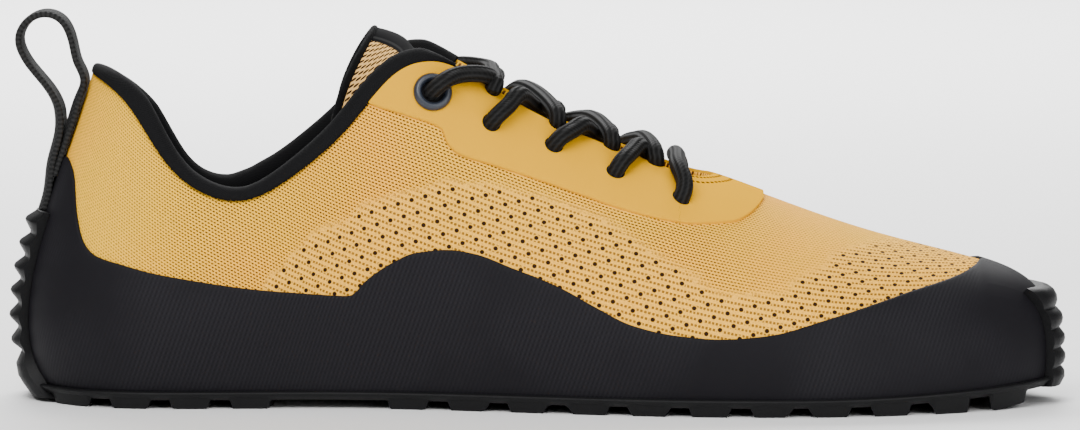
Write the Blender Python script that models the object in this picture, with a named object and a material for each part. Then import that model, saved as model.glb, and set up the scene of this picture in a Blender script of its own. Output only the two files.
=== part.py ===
"""Low barefoot running shoe for the left foot, in metres, +X to the toe, +Z up, medial side at -Y.

One function gives every point of the last: a rib for each section runs from the feather edge, where the
upper meets the sole, up to the collar, the throat or the ridge of the vamp. Upper, rand, eyestay and
binding are layers of that one skin. The origin is on the floor, under the middle of the heel.
"""

import math

import bpy
import numpy as np
from mathutils import Vector

# Main sizes of the last
LENGTH = 0.2753  # skin of the upper, back of the heel to tip of the toe
BALL_WIDTH = 0.1015  # skin of the upper across the ball
HEIGHT = 0.0923  # front corner of the collar over the floor
HEEL_TO_ORIGIN = 0.0290  # back of the heel to the origin
RIDGE_SWING = 0.0100  # how far the ridge moves to the big toe at the tip
LATERAL_DIP = 0.0025  # the collar is this much lower on the outer side

# Sole
SOLE = 0.0049  # feather edge over the floor
SPRING = 0.0028  # rise of the feather edge at the toe tip
TOE_RISE = 0.0030  # rise of the tread at the toe tip
LUG = 0.0024
SOLE_BEVEL = 0.0008  # the sole's lower edge lies this much further in
SOLE_MARGIN = 0.0014  # sole edge beyond the skin
INSOLE = 0.0030
INSOLE_INSET = 0.0046

# Layers of the upper
GAP = 0.0003
WALL = 0.0016
RAND = 0.0008
FILM = 0.0006
WRAP_GAP = 0.0003
WRAP = 0.0014
WRAP_SEAT = 0.0011  # the sole's edge reaches this much further under a wrap
HEEL_WRAP_FOOT = 0.0010
PULL_CLEAR = 0.0015  # between the heel wrap's top and the foot of the pull strip
HEEL_WRAP_HALF = 0.0110
HEEL_TEETH = 8
HEEL_TOOTH = 0.0023
TOE_WRAP_TOP = 0.32  # share of HEIGHT
TOE_WRAP_FOOT = 0.0048
TOE_WRAP_HALF = 0.0115
TOE_TEETH = 5
TOE_TOOTH = 0.0016
TONGUE = 0.0028
TONGUE_GAP = 0.0013

# Trim
BINDING_OUT = 0.0012
BINDING_IN = 0.0046
BINDING_TOP = 0.0034
BINDING_DEEP = 0.0085
BINDING_GAP = 0.0005
BINDING_TIP = 0.5  # how full the padded edge still is at its front ends
TAPE = 0.0023
TAPE_WIDTH = 0.0135
LACE_RADIUS = 0.0023
LACE_SIDES = 6
RING_RADIUS = 0.0051
RING_HOLE = 0.0031
RING_HIGH = 0.0013
RING_SLOPE = 0.0007

# Sections of the last, heel to toe. foot, inner and outer place the feather edge, top, gap and height the
# upper end of the rib, as shares of LENGTH, BALL_WIDTH and HEIGHT. low_up and high_down are shares of the
# rib's rise, low_out and high_out of BALL_WIDTH, and way turns the upper handle from back to straight out.
COLUMNS = "foot inner outer top gap height way low_up low_out high_out high_down".split()
RIBS = (
    (0.014, 0.000, 0.000, 0.064, 0.000, 0.957, 0, 0.24, 0.114, 0.112, 0.430),
    (0.022, 0.130, 0.130, 0.079, 0.118, 0.935, 34, 0.24, 0.107, 0.106, 0.430),
    (0.046, 0.225, 0.226, 0.107, 0.199, 0.862, 60, 0.25, 0.094, 0.092, 0.430),
    (0.086, 0.287, 0.296, 0.139, 0.251, 0.720, 78, 0.27, 0.076, 0.075, 0.420),
    (0.133, 0.308, 0.327, 0.177, 0.284, 0.627, 90, 0.29, 0.066, 0.050, 0.400),
    (0.180, 0.308, 0.340, 0.220, 0.300, 0.609, 90, 0.30, 0.060, 0.045, 0.380),
    (0.220, 0.303, 0.350, 0.264, 0.302, 0.678, 90, 0.30, 0.058, 0.048, 0.350),
    (0.256, 0.299, 0.363, 0.313, 0.288, 0.803, 90, 0.30, 0.056, 0.060, 0.310),
    (0.293, 0.298, 0.378, 0.357, 0.262, 0.955, 90, 0.30, 0.056, 0.085, 0.290),
    (0.329, 0.303, 0.395, 0.393, 0.235, 1.000, 90, 0.32, 0.060, 0.120, 0.260),
    (0.365, 0.314, 0.414, 0.430, 0.208, 0.962, 90, 0.35, 0.064, 0.155, 0.220),
    (0.430, 0.348, 0.449, 0.496, 0.171, 0.842, 90, 0.40, 0.066, 0.200, 0.170),
    (0.510, 0.402, 0.484, 0.568, 0.136, 0.742, 90, 0.43, 0.062, 0.240, 0.110),
    (0.583, 0.447, 0.502, 0.626, 0.090, 0.680, 90, 0.44, 0.054, 0.275, 0.050),
    (0.641, 0.473, 0.503, 0.670, 0.000, 0.648, 90, 0.44, 0.048, 0.315, 0.000),
    (0.721, 0.486, 0.476, 0.742, 0.000, 0.572, 90, 0.45, 0.042, 0.300, 0.000),
    (0.808, 0.470, 0.412, 0.822, 0.000, 0.492, 90, 0.47, 0.036, 0.265, 0.000),
    (0.888, 0.410, 0.315, 0.894, 0.000, 0.437, 90, 0.50, 0.032, 0.225, 0.000),
    (0.943, 0.335, 0.208, 0.945, 0.000, 0.396, 90, 0.53, 0.028, 0.175, 0.000),
    (0.976, 0.262, 0.098, 0.977, 0.000, 0.350, 90, 0.56, 0.020, 0.125, 0.000),
    (0.995, 0.185, -0.010, 0.996, 0.000, 0.262, 90, 0.58, 0.010, 0.070, 0.000),
    (1.000, 0.098, -0.098, 1.000, 0.000, 0.083, 90, 0.60, 0.000, 0.000, 0.000),
)
LAST_RIB = len(RIBS) - 1
DIP_END = 13.0

# Edges drawn on the skin: share of LENGTH from the heel back, height as a share of HEIGHT
RAND_EDGE = (
    (0.000, 0.712),
    (0.036, 0.708),
    (0.046, 0.665),
    (0.049, 0.560),
    (0.057, 0.478),
    (0.070, 0.440),
    (0.097, 0.421),
    (0.132, 0.391),
    (0.182, 0.369),
    (0.222, 0.352),
    (0.268, 0.343),
    (0.318, 0.332),
    (0.336, 0.380),
    (0.360, 0.428),
    (0.382, 0.457),
    (0.414, 0.467),
    (0.441, 0.455),
    (0.473, 0.420),
    (0.518, 0.369),
    (0.559, 0.305),
    (0.589, 0.262),
    (0.632, 0.233),
    (0.675, 0.223),
    (0.719, 0.235),
    (0.779, 0.288),
    (0.853, 0.357),
    (0.931, 0.401),
    (0.960, 0.520),
)
EYESTAY_EDGE = (
    (0.300, 1.080),
    (0.335, 0.885),
    (0.372, 0.848),
    (0.409, 0.800),
    (0.422, 0.740),
    (0.455, 0.705),
    (0.501, 0.661),
    (0.543, 0.618),
    (0.578, 0.582),
    (0.617, 0.552),
    (0.652, 0.535),
    (0.687, 0.537),
    (0.718, 0.580),
    (0.735, 0.680),
)
THROAT_FRONT = 0.672  # share of LENGTH
THROAT_ROUND = 0.042
THROAT_HALF = 0.122  # share of BALL_WIDTH
# rib, height of the tongue's middle there as a share of HEIGHT
TONGUE_TOP = ((6.7, 1.084), (7.8, 1.055), (8.8, 0.998), (9.6, 0.940), (10.3, 0.888), (11.0, 0.822),
              (12.0, 0.726), (13.0, 0.655), (14.0, 0.612), (14.8, 0.570))
TONGUE_WING = 0.70  # where on the rib the tongue's edge lies
TONGUE_LEAN = 0.35
TONGUE_FULL = 0.24

# Trim
BINDING_END = 9.75  # rib where the padded edge stops
RING_SIDES = 16
# rib and share up the rib of each lace hole, from the top
HOLES = ((9.24, 0.886), (10.48, 0.846), (11.41, 0.882), (12.21, 0.848), (13.44, 0.744))
EDGE_AHEAD = 0.15  # a strand crosses the throat's edge this many ribs further on
EDGE_LIFT = 0.0012
BINDING_CLEAR = 0.42  # ribs between the padded edge and the first strand
CROSS_LIFT = 0.0002
CROSS_STEP = 0.0030
# Pull loop: heights of its strip up the heel, then its loop, from the heel back. Heights are shares of HEIGHT
PULL_STRIP = (0.553, 0.610, 0.680, 0.740, 0.800)
PULL_ROUTE = (
    (0.0060, 0.885),
    (0.0018, 0.950),
    (-0.0016, 0.998),
    (-0.0022, 1.045),
    (0.0004, 1.100),
    (0.0050, 1.123),
    (0.0098, 1.100),
    (0.0124, 1.040),
    (0.0136, 0.960),
    (0.0132, 0.900),
    (0.0118, 0.840),
)

# Lugs: cell edges across the sole, and the cells that carry a lug
LUG_EDGES = (0.0, 0.15, 0.22, 0.37, 0.43, 0.57, 0.63, 0.78, 0.85, 1.0)
LUG_CELLS = (0, 2, 4, 6, 8)
LUG_ROW = 0.0105
LUG_SPACE = 0.0055
LUG_TAPER = 0.90
CHEVRON = 0.0045
HEEL_ROWS = 4
ARCH_SKIP = 0.026
HEEL_RISE = 0.0012
WRAP_COLUMNS = 7
WRAP_LEAN = 0.0015  # this far below the feather edge a wrap starts to lean under the shoe
UNDERCUT = 1.1  # slope of that lean
TOOTH_SHAPE = ((0.0, 0.15), (0.35, 1.0), (0.70, 0.85))

# Columns and rows of the skin's grid: rib where each stretch ends, and its number of columns
STRETCHES = ((4.0, 7), (10.0, 9), (13.0, 4), (14.0, 3), (14.45, 1), (14.9, 3), (16.4, 2), (17.3, 2),
             (17.8, 3), (21.0, 5))
RAND_ROWS = 5
SIDE_ROWS = 4
FILM_ROWS = 2


def spline(rows, ts):
    """Natural cubic through values at 0, 1, 2..., read at ts."""
    rows = np.asarray(rows, float)
    n = len(rows)
    system = np.diag(np.full(n, 4.0)) + np.diag(np.ones(n - 1), 1) + np.diag(np.ones(n - 1), -1)
    system[0, :2] = 1, 0
    system[-1, -2:] = 0, 1
    bend = np.zeros(n)
    bend[1:-1] = 6 * (rows[2:] - 2 * rows[1:-1] + rows[:-2])
    bend = np.linalg.solve(system, bend)
    k = np.clip(np.floor(ts).astype(int), 0, n - 2)
    b = ts - k
    a = 1 - b
    return a * rows[k] + b * rows[k + 1] + ((a**3 - a) * bend[k] + (b**3 - b) * bend[k + 1]) / 6


def steady(xs, rows, ts):
    """Cubic through (xs, rows) that never overshoots, read at ts."""
    xs = np.asarray(xs, float)
    rows = np.asarray(rows, float)
    step = np.diff(xs)
    rise = np.diff(rows) / step
    slope = np.concatenate([rise[:1], np.zeros(len(xs) - 2), rise[-1:]])
    same = rise[:-1] * rise[1:] > 0
    total = np.where(same, rise[:-1] + rise[1:], 1)
    slope[1:-1] = np.where(same, 2 * rise[:-1] * rise[1:] / total, 0)
    k = np.clip(np.searchsorted(xs, ts, side="right") - 1, 0, len(xs) - 2)
    b = np.clip((ts - xs[k]) / step[k], 0, 1)
    bump = b * (1 - b)
    return (
        rows[k] * (1 - b) ** 2 * (1 + 2 * b)
        + rows[k + 1] * b**2 * (3 - 2 * b)
        + step[k] * bump * (slope[k] * (1 - b) - slope[k + 1] * b)
    )


def column(name):
    return np.array([row[COLUMNS.index(name)] for row in RIBS])


def chain(name, ts):
    """A column of RIBS as one smooth run, outer toe, heel, inner toe: ts is negative on the outer side."""
    rows = column(name)
    return spline(np.concatenate([rows[:0:-1], rows]), ts + LAST_RIB)


def along(share):
    """World x of a share of the length."""
    return share * LENGTH - HEEL_TO_ORIGIN


def edge_curve(edge, x):
    table = np.array(edge)
    return HEIGHT * steady(along(table[:, 0]), table[:, 1], x)


def feather_height(x):
    """Height of the feather edge, with the toe spring."""
    run = np.clip((x - along(0.74)) / (0.26 * LENGTH), 0, 1)
    return SOLE + SPRING * run**2


def ridge_y(x):
    run = np.clip((x - along(0.50)) / (0.50 * LENGTH), 0, 1)
    return -RIDGE_SWING * run**2


def feather(ts):
    """Points of the feather edge and the outward way there, for signed ribs ts."""
    ends = np.concatenate([column("outer")[:0:-1], -column("inner")])

    def place(t):
        return along(chain("foot", t)), BALL_WIDTH * spline(ends, t + LAST_RIB)

    x, y = place(ts)
    ahead = place(np.minimum(ts + 0.02, LAST_RIB))
    behind = place(np.maximum(ts - 0.02, -LAST_RIB))
    way = np.stack([-(ahead[1] - behind[1]), ahead[0] - behind[0]], -1)
    way = -way / np.linalg.norm(way, axis=-1, keepdims=True)
    points = np.stack([x, y, feather_height(x)], -1)
    return points, np.concatenate([way, np.zeros_like(x)[..., None]], -1)


def skin(ts, vs):
    """Points of the last's skin. ts: signed rib, negative on the outer side; vs: 0 feather, 1 top."""
    side = np.where(ts < 0, 1.0, -1.0)
    low, low_way = feather(ts)
    x = along(chain("top", ts))
    gap = BALL_WIDTH * steady(np.arange(LAST_RIB + 1), column("gap"), np.abs(ts))
    dip = LATERAL_DIP * (ts < 0) * np.sin(np.pi * np.clip(np.abs(ts) / DIP_END, 0, 1)) ** 2
    top = np.stack([x, ridge_y(x) + side * gap, HEIGHT * chain("height", ts) - dip], -1)
    rise = (top[..., 2] - low[..., 2])[..., None]
    up = np.array([0.0, 0.0, 1.0])
    angle = np.radians(steady(np.arange(LAST_RIB + 1), column("way"), np.abs(ts)))
    out = np.stack([-np.cos(angle), side * np.sin(angle), np.zeros_like(angle)], -1)
    low_out = BALL_WIDTH * chain("low_out", ts)[..., None]
    high_out = BALL_WIDTH * chain("high_out", ts)[..., None]
    first = low + low_way * low_out + up * rise * chain("low_up", ts)[..., None]
    second = top + out * high_out - up * rise * chain("high_down", ts)[..., None]
    v = vs[..., None]
    u = 1 - v
    return u**3 * low + 3 * u * u * v * first + 3 * u * v * v * second + v**3 * top


def reach(ts, passed):
    """For each rib, the share at which the test first holds, going up; 1 where it never does."""
    low = np.zeros_like(ts)
    high = np.ones_like(ts)
    never = ~passed(skin(ts, high))
    for _ in range(30):
        middle = (low + high) / 2
        over = passed(skin(ts, middle))
        high = np.where(over, middle, high)
        low = np.where(over, low, middle)
    return np.where(never, 1.0, high)


def throat_half(x):
    """Half width of the throat's round front end."""
    run = np.clip((x - along(THROAT_FRONT - THROAT_ROUND)) / (THROAT_ROUND * LENGTH), 0, 1)
    return BALL_WIDTH * THROAT_HALF * np.sqrt(1 - run**2)


def breaks(ts):
    """Shares of each inner rib at the rand's edge, the eyestay's edge and the top; the outer ribs match."""
    rand = reach(ts, lambda p: p[..., 2] >= edge_curve(RAND_EDGE, p[..., 0]))
    film = reach(ts, lambda p: p[..., 2] >= edge_curve(EYESTAY_EDGE, p[..., 0]))

    def open_throat(p):
        inside = np.abs(p[..., 1] - ridge_y(p[..., 0])) < throat_half(p[..., 0]) - 1e-6
        return inside & (p[..., 0] > along(0.60))

    top = reach(ts, open_throat)
    return rand, np.clip(film, rand, top), top


def columns_of(stretches):
    ts = [0.0]
    for end, count in stretches:
        ts += list(np.linspace(ts[-1], end, count + 1)[1:])
    return np.array(ts)


def weld(points, faces):
    """Points that coincide made one, and faces that collapsed dropped."""
    _, first, index = np.unique(np.round(points / 1e-6), axis=0, return_index=True, return_inverse=True)
    index = index.reshape(-1)
    kept = []
    for face in faces:
        corners = [index[c] for c in face]
        corners = [c for i, c in enumerate(corners) if c != corners[i - 1]]
        kept.append(corners if len(set(corners)) == len(corners) > 2 else None)
    return points[first], kept


def turned(face):
    """The face with its other side out, and the same diagonal."""
    return [face[0]] + face[:0:-1]


def grid_faces(rows, cols, start=0, turn=False):
    faces = []
    for i in range(rows - 1):
        for j in range(cols - 1):
            a = start + i * cols + j
            face = [a, a + 1, a + cols + 1, a + cols]
            faces.append(turned(face) if turn else face)
    return faces


def short_diagonals(points, faces):
    """Each quad turned so that it is split along its shorter diagonal."""
    made = []
    for face in faces:
        if len(face) == 4:
            a, b, c, d = points[face]
            if np.linalg.norm(b - d) < np.linalg.norm(a - c):
                face = face[1:] + face[:1]
        made.append(face)
    return made


def base_skin():
    """The skin's welded grid: points, faces, the band that each face is in, and the point normals."""
    ts = columns_of(STRETCHES)
    rows = RAND_ROWS + SIDE_ROWS + FILM_ROWS
    band_of_row = [0] * RAND_ROWS + [1] * SIDE_ROWS + [2] * FILM_ROWS
    points = []
    faces = []
    bands = []
    for side in (-1, 1):
        signed = ts * side
        signed[0] = 0.0
        rand, film, top = breaks(ts)
        vs = [rand * i / RAND_ROWS for i in range(RAND_ROWS)]
        vs += [rand + (film - rand) * i / SIDE_ROWS for i in range(SIDE_ROWS)]
        vs += [film + (top - film) * i / FILM_ROWS for i in range(FILM_ROWS + 1)]
        vs = np.stack(vs, -1)
        wide = np.repeat(signed[:, None], vs.shape[1], 1)
        start = sum(len(p) for p in points)
        points.append(skin(wide, vs).reshape(-1, 3))
        faces += grid_faces(len(ts), rows + 1, start, turn=side > 0)
        bands += band_of_row * (len(ts) - 1)
    points, kept = weld(np.concatenate(points), faces)
    bands = [band for band, face in zip(bands, kept) if face]
    kept = short_diagonals(points, [face for face in kept if face])
    normals = point_normals(points, kept)
    foot = points[:, 2] < feather_height(points[:, 0]) + 1e-6
    normals[foot, 2] = np.maximum(normals[foot, 2], 0)
    normals /= np.linalg.norm(normals, axis=1, keepdims=True)
    return points, kept, np.array(bands), normals


def point_normals(points, faces):
    """Area-weighted normals."""
    normals = np.zeros_like(points)
    for face in faces:
        corners = points[face]
        across = np.cross(corners[2] - corners[0], corners[-1] - corners[1])
        for c in face:
            normals[c] += across
    return normals / np.linalg.norm(normals, axis=1, keepdims=True)


def layer(points, faces, normals, low, high):
    """Closed solid between two offsets of the faces given."""
    used = sorted({c for face in faces for c in face})
    place = {c: i for i, c in enumerate(used)}
    faces = [[place[c] for c in face] for face in faces]
    count = len(used)
    stack = np.concatenate([points[used] + normals[used] * high, points[used] + normals[used] * low])
    solid = faces + [[c + count for c in turned(face)] for face in faces]
    edges = {(face[i - 1], face[i]) for face in faces for i in range(len(face))}
    for a, b in edges:
        if (b, a) not in edges:
            solid.append([b, a, a + count, b + count])
    return stack, solid


def tube_rings(rings, closed=False):
    """Closed solid from rings of points: capped at both ends, or joined end to start."""
    rings = np.asarray(rings)
    count, sides = rings.shape[:2]
    faces = []
    for i in range(count if closed else count - 1):
        for j in range(sides):
            a, b = i * sides + j, i * sides + (j + 1) % sides
            c, d = ((i + 1) % count) * sides + (j + 1) % sides, ((i + 1) % count) * sides + j
            faces.append([a, b, c, d])
    if not closed:
        faces.append(list(range(sides))[::-1])
        faces.append([(count - 1) * sides + j for j in range(sides)])
    return rings.reshape(-1, 3), faces


def material(name, colour, roughness, metallic=0.0):
    made = bpy.data.materials.new(name)
    made.use_nodes = True
    shader = made.node_tree.nodes["Principled BSDF"]
    shader.inputs["Base Color"].default_value = (*colour, 1)
    shader.inputs["Roughness"].default_value = roughness
    shader.inputs["Metallic"].default_value = metallic
    return made


def add(name, points, faces, look=None, smooth=40):
    mesh = bpy.data.meshes.new(name)
    mesh.from_pydata([tuple(p) for p in points], [], [list(map(int, face)) for face in faces])
    mesh.validate()
    mesh.shade_smooth()
    mesh.set_sharp_from_angle(angle=math.radians(smooth))
    if look:
        mesh.materials.append(look)
    made = bpy.data.objects.new(name, mesh)
    bpy.context.scene.collection.objects.link(made)
    return made


def join(body, others):
    """Unites the body with helpers, which are then left out of the render."""
    for other in others:
        modifier = body.modifiers.new(other.name, "BOOLEAN")
        modifier.operation = "UNION"
        modifier.solver = "EXACT"
        modifier.object = other
        other.hide_render = True
        other.display_type = "WIRE"


def clear():
    for old in list(bpy.data.objects):
        bpy.data.objects.remove(old, do_unlink=True)


def sole_station(x):
    """Rib whose feather point has this x."""
    ts = np.linspace(0, LAST_RIB, 400)
    return np.interp(x, feather(ts)[0][:, 0], ts)


def sole_margin(ts):
    """How far the sole's edge stands out: further at the two ends, where it carries the wraps."""
    heel = np.clip(1.7 - np.abs(ts), 0, 1)
    toe = np.clip(np.abs(ts) - LAST_RIB + 1.7, 0, 1)
    return (SOLE_MARGIN + WRAP_SEAT * (heel + toe))[:, None]


def across(ts, shares, margin):
    """Grid of floor-plan points between the inner and outer feather edges, moved out by the margin."""
    inner, inner_way = feather(ts)
    outer, outer_way = feather(-ts)
    inner = inner + inner_way * margin
    outer = outer + outer_way * margin
    w = np.asarray(shares)[None, :, None]
    return inner[:, None, :] * (1 - w) + outer[:, None, :] * w


def sole_rows():
    """x of each row edge along the sole, and whether the row carries lugs."""
    x = -0.5 * LUG_ROW - (LUG_ROW + LUG_SPACE)
    edges = [x]
    lugs = []
    row = 0
    while x + LUG_ROW + LUG_SPACE < along(1.0):
        if row == HEEL_ROWS:
            edges += [x + 0.5 * ARCH_SKIP, x + ARCH_SKIP]
            lugs += [False, False]
            x += ARCH_SKIP
        edges += [x + LUG_ROW, x + LUG_ROW + LUG_SPACE]
        lugs += [True, False]
        x += LUG_ROW + LUG_SPACE
        row += 1
    return edges, lugs


def outsole_plate(look):
    """The plate with its lugs as one grid: lug cells are pushed down to the floor."""
    edges, lugs = sole_rows()
    last = sole_station(edges[-1])
    ts = np.concatenate([[0.0, 0.4, 0.9], sole_station(np.array(edges)), [(last + LAST_RIB) / 2, LAST_RIB]])
    lugs = [False] * 3 + lugs + [False] * 2

    def plan(margin):
        made = across(ts, LUG_EDGES, margin)
        width = np.linalg.norm(made[:, :1] - made[:, -1:], axis=-1)
        bow = CHEVRON * np.clip(width / BALL_WIDTH * 2 - 0.7, 0, 1)
        made[..., 0] += bow * np.sin(np.pi * np.array(LUG_EDGES))[None, :]
        return made

    floor = plan(sole_margin(ts))
    rim = np.clip((along(0.05) - floor[..., 0]) / (0.05 * LENGTH), 0, 1) ** 2
    toe = np.clip((floor[..., 0] - along(0.93)) / (0.07 * LENGTH), 0, 1) ** 2
    tread = HEEL_RISE * rim + TOE_RISE * toe
    top = floor.copy()
    top[..., 2] = feather_height(floor[..., 0]) - GAP
    low = plan(sole_margin(ts) - SOLE_BEVEL)
    low[..., 2] = top[..., 2] - (SOLE - GAP - LUG)
    rows, cols = floor.shape[:2]
    count = rows * cols
    points = [top.reshape(-1, 3), low.reshape(-1, 3)]
    faces = grid_faces(rows, cols, turn=True)
    for i in range(rows - 1):
        for j in range(cols - 1):
            a = count + i * cols + j
            cell = [a, a + 1, a + cols + 1, a + cols]
            if not (lugs[i] and j in LUG_CELLS):
                faces.append(cell)
                continue
            feet = points[1][np.array(cell) - count].copy()
            feet[:, 2] = tread.reshape(-1)[np.array(cell) - count]
            centre = feet.mean(axis=0)
            first = sum(len(p) for p in points)
            points.append(centre + (feet - centre) * np.array([LUG_TAPER, LUG_TAPER, 1.0]))
            faces.append([first, first + 1, first + 2, first + 3])
            for k in range(4):
                n = (k + 1) % 4
                faces.append([cell[k], cell[n], first + n, first + k])
    rim_loop = [i * cols for i in range(rows)] + [(rows - 1) * cols + j for j in range(1, cols)]
    rim_loop += [i * cols + cols - 1 for i in range(rows - 2, -1, -1)] + list(range(cols - 2, 0, -1))
    for a, b in zip(rim_loop, rim_loop[1:] + rim_loop[:1]):
        faces.append([b, a, a + count, b + count])
    points, kept = weld(np.concatenate(points), faces)
    return add("outsole", points, [face for face in kept if face], look, smooth=30)


def skin_frame(ts, vs):
    """Skin points, outward normals, and the way up the rib."""
    step = 1e-3
    point = skin(ts, vs)
    ahead = skin(np.minimum(ts + step, LAST_RIB), vs) - skin(np.maximum(ts - step, -LAST_RIB), vs)
    up = skin(ts, np.minimum(vs + step, 1)) - skin(ts, np.maximum(vs - step, 0))
    normal = np.cross(ahead, up)
    normal /= np.linalg.norm(normal, axis=-1, keepdims=True)
    return point, normal, up / np.linalg.norm(up, axis=-1, keepdims=True)


def end_slice(z, near, far):
    """The skin's outline at one height round an end of the shoe: x against y, for ribs near to far."""
    ts = np.linspace(near, far, 120)
    runs = []
    for side in (-1, 1):
        signed = ts * side
        top = skin(signed, np.ones_like(signed))[:, 2]
        signed = signed[top > z]
        vs = reach(signed, lambda p: p[..., 2] >= z)
        runs.append(skin(signed, vs)[:, :2])
    points = np.concatenate(runs)
    return points[np.argsort(points[:, 1])]


def wrap(name, heel, low, high, teeth, depth, half, middle):
    """A toothed strip of the sole that runs up an end of the shoe, over the rand."""
    near, far = (0.0, 3.0) if heel else (17.0, LAST_RIB - 0.02)
    outward = -1.0 if heel else 1.0
    ys = middle + half * np.linspace(-1, 1, WRAP_COLUMNS)
    rows = [(k + share, tooth) for k in range(teeth) for share, tooth in TOOTH_SHAPE] + [(teeth, 0.0)]
    zs = np.array([low + (high - low) * k / teeth for k, _ in rows])
    feather_z = float(feather_height(along(0.0 if heel else 1.0)))
    xs = []
    for z in zs:
        outline = end_slice(max(z, feather_z + 1e-4), near, far)
        under = UNDERCUT * max(0.0, feather_z - WRAP_LEAN - z) * -outward
        xs.append(np.interp(ys, outline[:, 1], outline[:, 0]) + under)
    xs = np.array(xs)
    slope_y = np.gradient(xs, ys, axis=1)
    slope_z = np.gradient(xs, zs, axis=0)
    normal = np.stack([np.ones_like(xs), -slope_y, -slope_z], -1) * outward
    normal /= np.linalg.norm(normal, axis=-1, keepdims=True)
    point = np.stack([xs, np.broadcast_to(ys, xs.shape), np.broadcast_to(zs[:, None], xs.shape)], -1)
    lift = RAND + GAP + WRAP_GAP
    teeth_out = np.array([tooth for _, tooth in rows])[:, None, None] * depth
    fade = np.ones(len(ys))
    fade[[0, -1]] = 0.4
    inner = point + normal * lift
    outer = point + normal * (lift + WRAP + teeth_out * fade[None, :, None])
    rings = np.concatenate([inner, outer[:, ::-1]], axis=1)
    rings[..., 2] = np.maximum(rings[..., 2], low)
    points, faces = tube_rings(rings)
    if not heel:
        faces = [face[::-1] for face in faces]
    return add(name, points, faces)


def make_outsole(look):
    plate = outsole_plate(look)
    tip = BALL_WIDTH * column("outer")[-1]
    heel_top = HEIGHT * PULL_STRIP[0] - PULL_CLEAR
    toe_top = HEIGHT * TOE_WRAP_TOP
    heel = wrap("heel_wrap", True, HEEL_WRAP_FOOT, heel_top, HEEL_TEETH, HEEL_TOOTH, HEEL_WRAP_HALF, 0.0)
    toe = wrap("toe_wrap", False, TOE_WRAP_FOOT, toe_top, TOE_TEETH, TOE_TOOTH, TOE_WRAP_HALF, tip)
    join(plate, [heel, toe])


def make_insole(look):
    """A loose sheet on the sole, inside the upper."""
    ts = np.concatenate([np.linspace(0, 4, 7), np.linspace(5.5, 17, 8), np.linspace(18, LAST_RIB, 5)])
    floor = across(ts, np.linspace(0, 1, 4), -INSOLE_INSET)
    lift = feather_height(floor[..., 0])
    count = floor.shape[0] * floor.shape[1]
    top = floor.copy()
    top[..., 2] = lift + INSOLE
    low = floor.copy()
    low[..., 2] = lift
    rows, cols = floor.shape[:2]
    faces = grid_faces(rows, cols, turn=True) + grid_faces(rows, cols, count)
    loop = [i * cols for i in range(rows)] + [(rows - 1) * cols + j for j in range(1, cols)]
    loop += [i * cols + cols - 1 for i in range(rows - 2, -1, -1)] + list(range(cols - 2, 0, -1))
    for a, b in zip(loop, loop[1:] + loop[:1]):
        faces.append([b, a, a + count, b + count])
    points, kept = weld(np.concatenate([top.reshape(-1, 3), low.reshape(-1, 3)]), faces)
    add("insole", points, [face for face in kept if face], look)


def make_binding(look):
    """Padded edge of the collar: one section carried along the top of the upper, side to side."""
    ts = columns_of(STRETCHES)
    ts = ts[ts <= BINDING_END]
    ts = np.concatenate([-ts[:0:-1], ts])
    top = np.ones_like(ts)
    length = np.linalg.norm(skin(ts, top) - skin(ts, top - 0.1), axis=-1) / 0.1
    frames = (skin_frame(ts, top), skin_frame(ts, 1 - BINDING_DEEP / length))
    notch = WALL + BINDING_GAP
    section = (
        (0, BINDING_OUT - 0.0002, BINDING_GAP),
        (0, BINDING_OUT, 0.45 * BINDING_TOP),
        (0, 0.3 * BINDING_OUT, 0.90 * BINDING_TOP),
        (0, -0.3 * BINDING_IN, 1.05 * BINDING_TOP),
        (0, -0.75 * BINDING_IN, 0.85 * BINDING_TOP),
        (0, -BINDING_IN, 0.2 * BINDING_TOP),
        (1, -BINDING_IN, 0.4 * BINDING_DEEP),
        (1, -0.75 * BINDING_IN, 0.0),
        (1, -notch, 0.0),
        (0, -notch, BINDING_GAP),
    )
    thin = np.clip(BINDING_TIP + (ts[-1] - np.abs(ts)) / 1.5, 0, 1)[:, None]
    rings = []
    for place, out, rise in section:
        point, normal, up = frames[place]
        if out < -notch:
            out = -notch + (out + notch) * thin
        rings.append(point + normal * out + up * rise * thin)
    rings = np.stack(rings, axis=1)
    points, faces = tube_rings(rings)
    add("collar_binding", points, [face[::-1] for face in faces], look)


def tongue_sections():
    """Rows of points across the tongue's outer face, from its front end back to its free top."""
    ts = np.linspace(TONGUE_TOP[-1][0], TONGUE_TOP[0][0], 13)
    inward = TONGUE_GAP + WALL + (BINDING_IN - WALL) * np.clip((BINDING_END + 1.0 - ts) / 1.0, 0, 1)
    wings = []
    for side in (1, -1):
        _, _, top = breaks(ts)
        share = np.linspace(0, 1, 4)[:, None]
        vs = TONGUE_WING + (top - TONGUE_WING) * share
        signed = np.broadcast_to(ts * side, vs.shape)
        point, normal, _ = skin_frame(signed, vs)
        wings.append(point - normal * inward[None, :, None])
    edge_in, edge_out = wings[0][-1], wings[1][-1]
    width = np.abs(edge_in[:, 1] - edge_out[:, 1])
    middle = HEIGHT * steady([t for t, _ in TONGUE_TOP], [h for _, h in TONGUE_TOP], ts)
    rise = (middle - (edge_in + edge_out)[:, 2] / 2) / 0.75 * np.clip(width / 0.012, 0, 1)
    handle = np.stack([0 * rise, TONGUE_FULL * width, rise], -1)
    lean = np.stack([0.75 * TONGUE_LEAN * rise, 0 * rise, 0 * rise], -1)
    first = edge_in + handle
    second = edge_out + handle * np.array([1, -1, 1])
    rows = list(wings[0][:-1])
    for b in np.linspace(0, 1, 8):
        a = 1 - b
        arch = a**3 * edge_in + 3 * a * a * b * first + 3 * a * b * b * second + b**3 * edge_out
        rows.append(arch + lean * (4 * a * b) ** 2)
    rows += list(wings[1][:-1][::-1])
    return np.stack(rows, axis=1)


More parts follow.
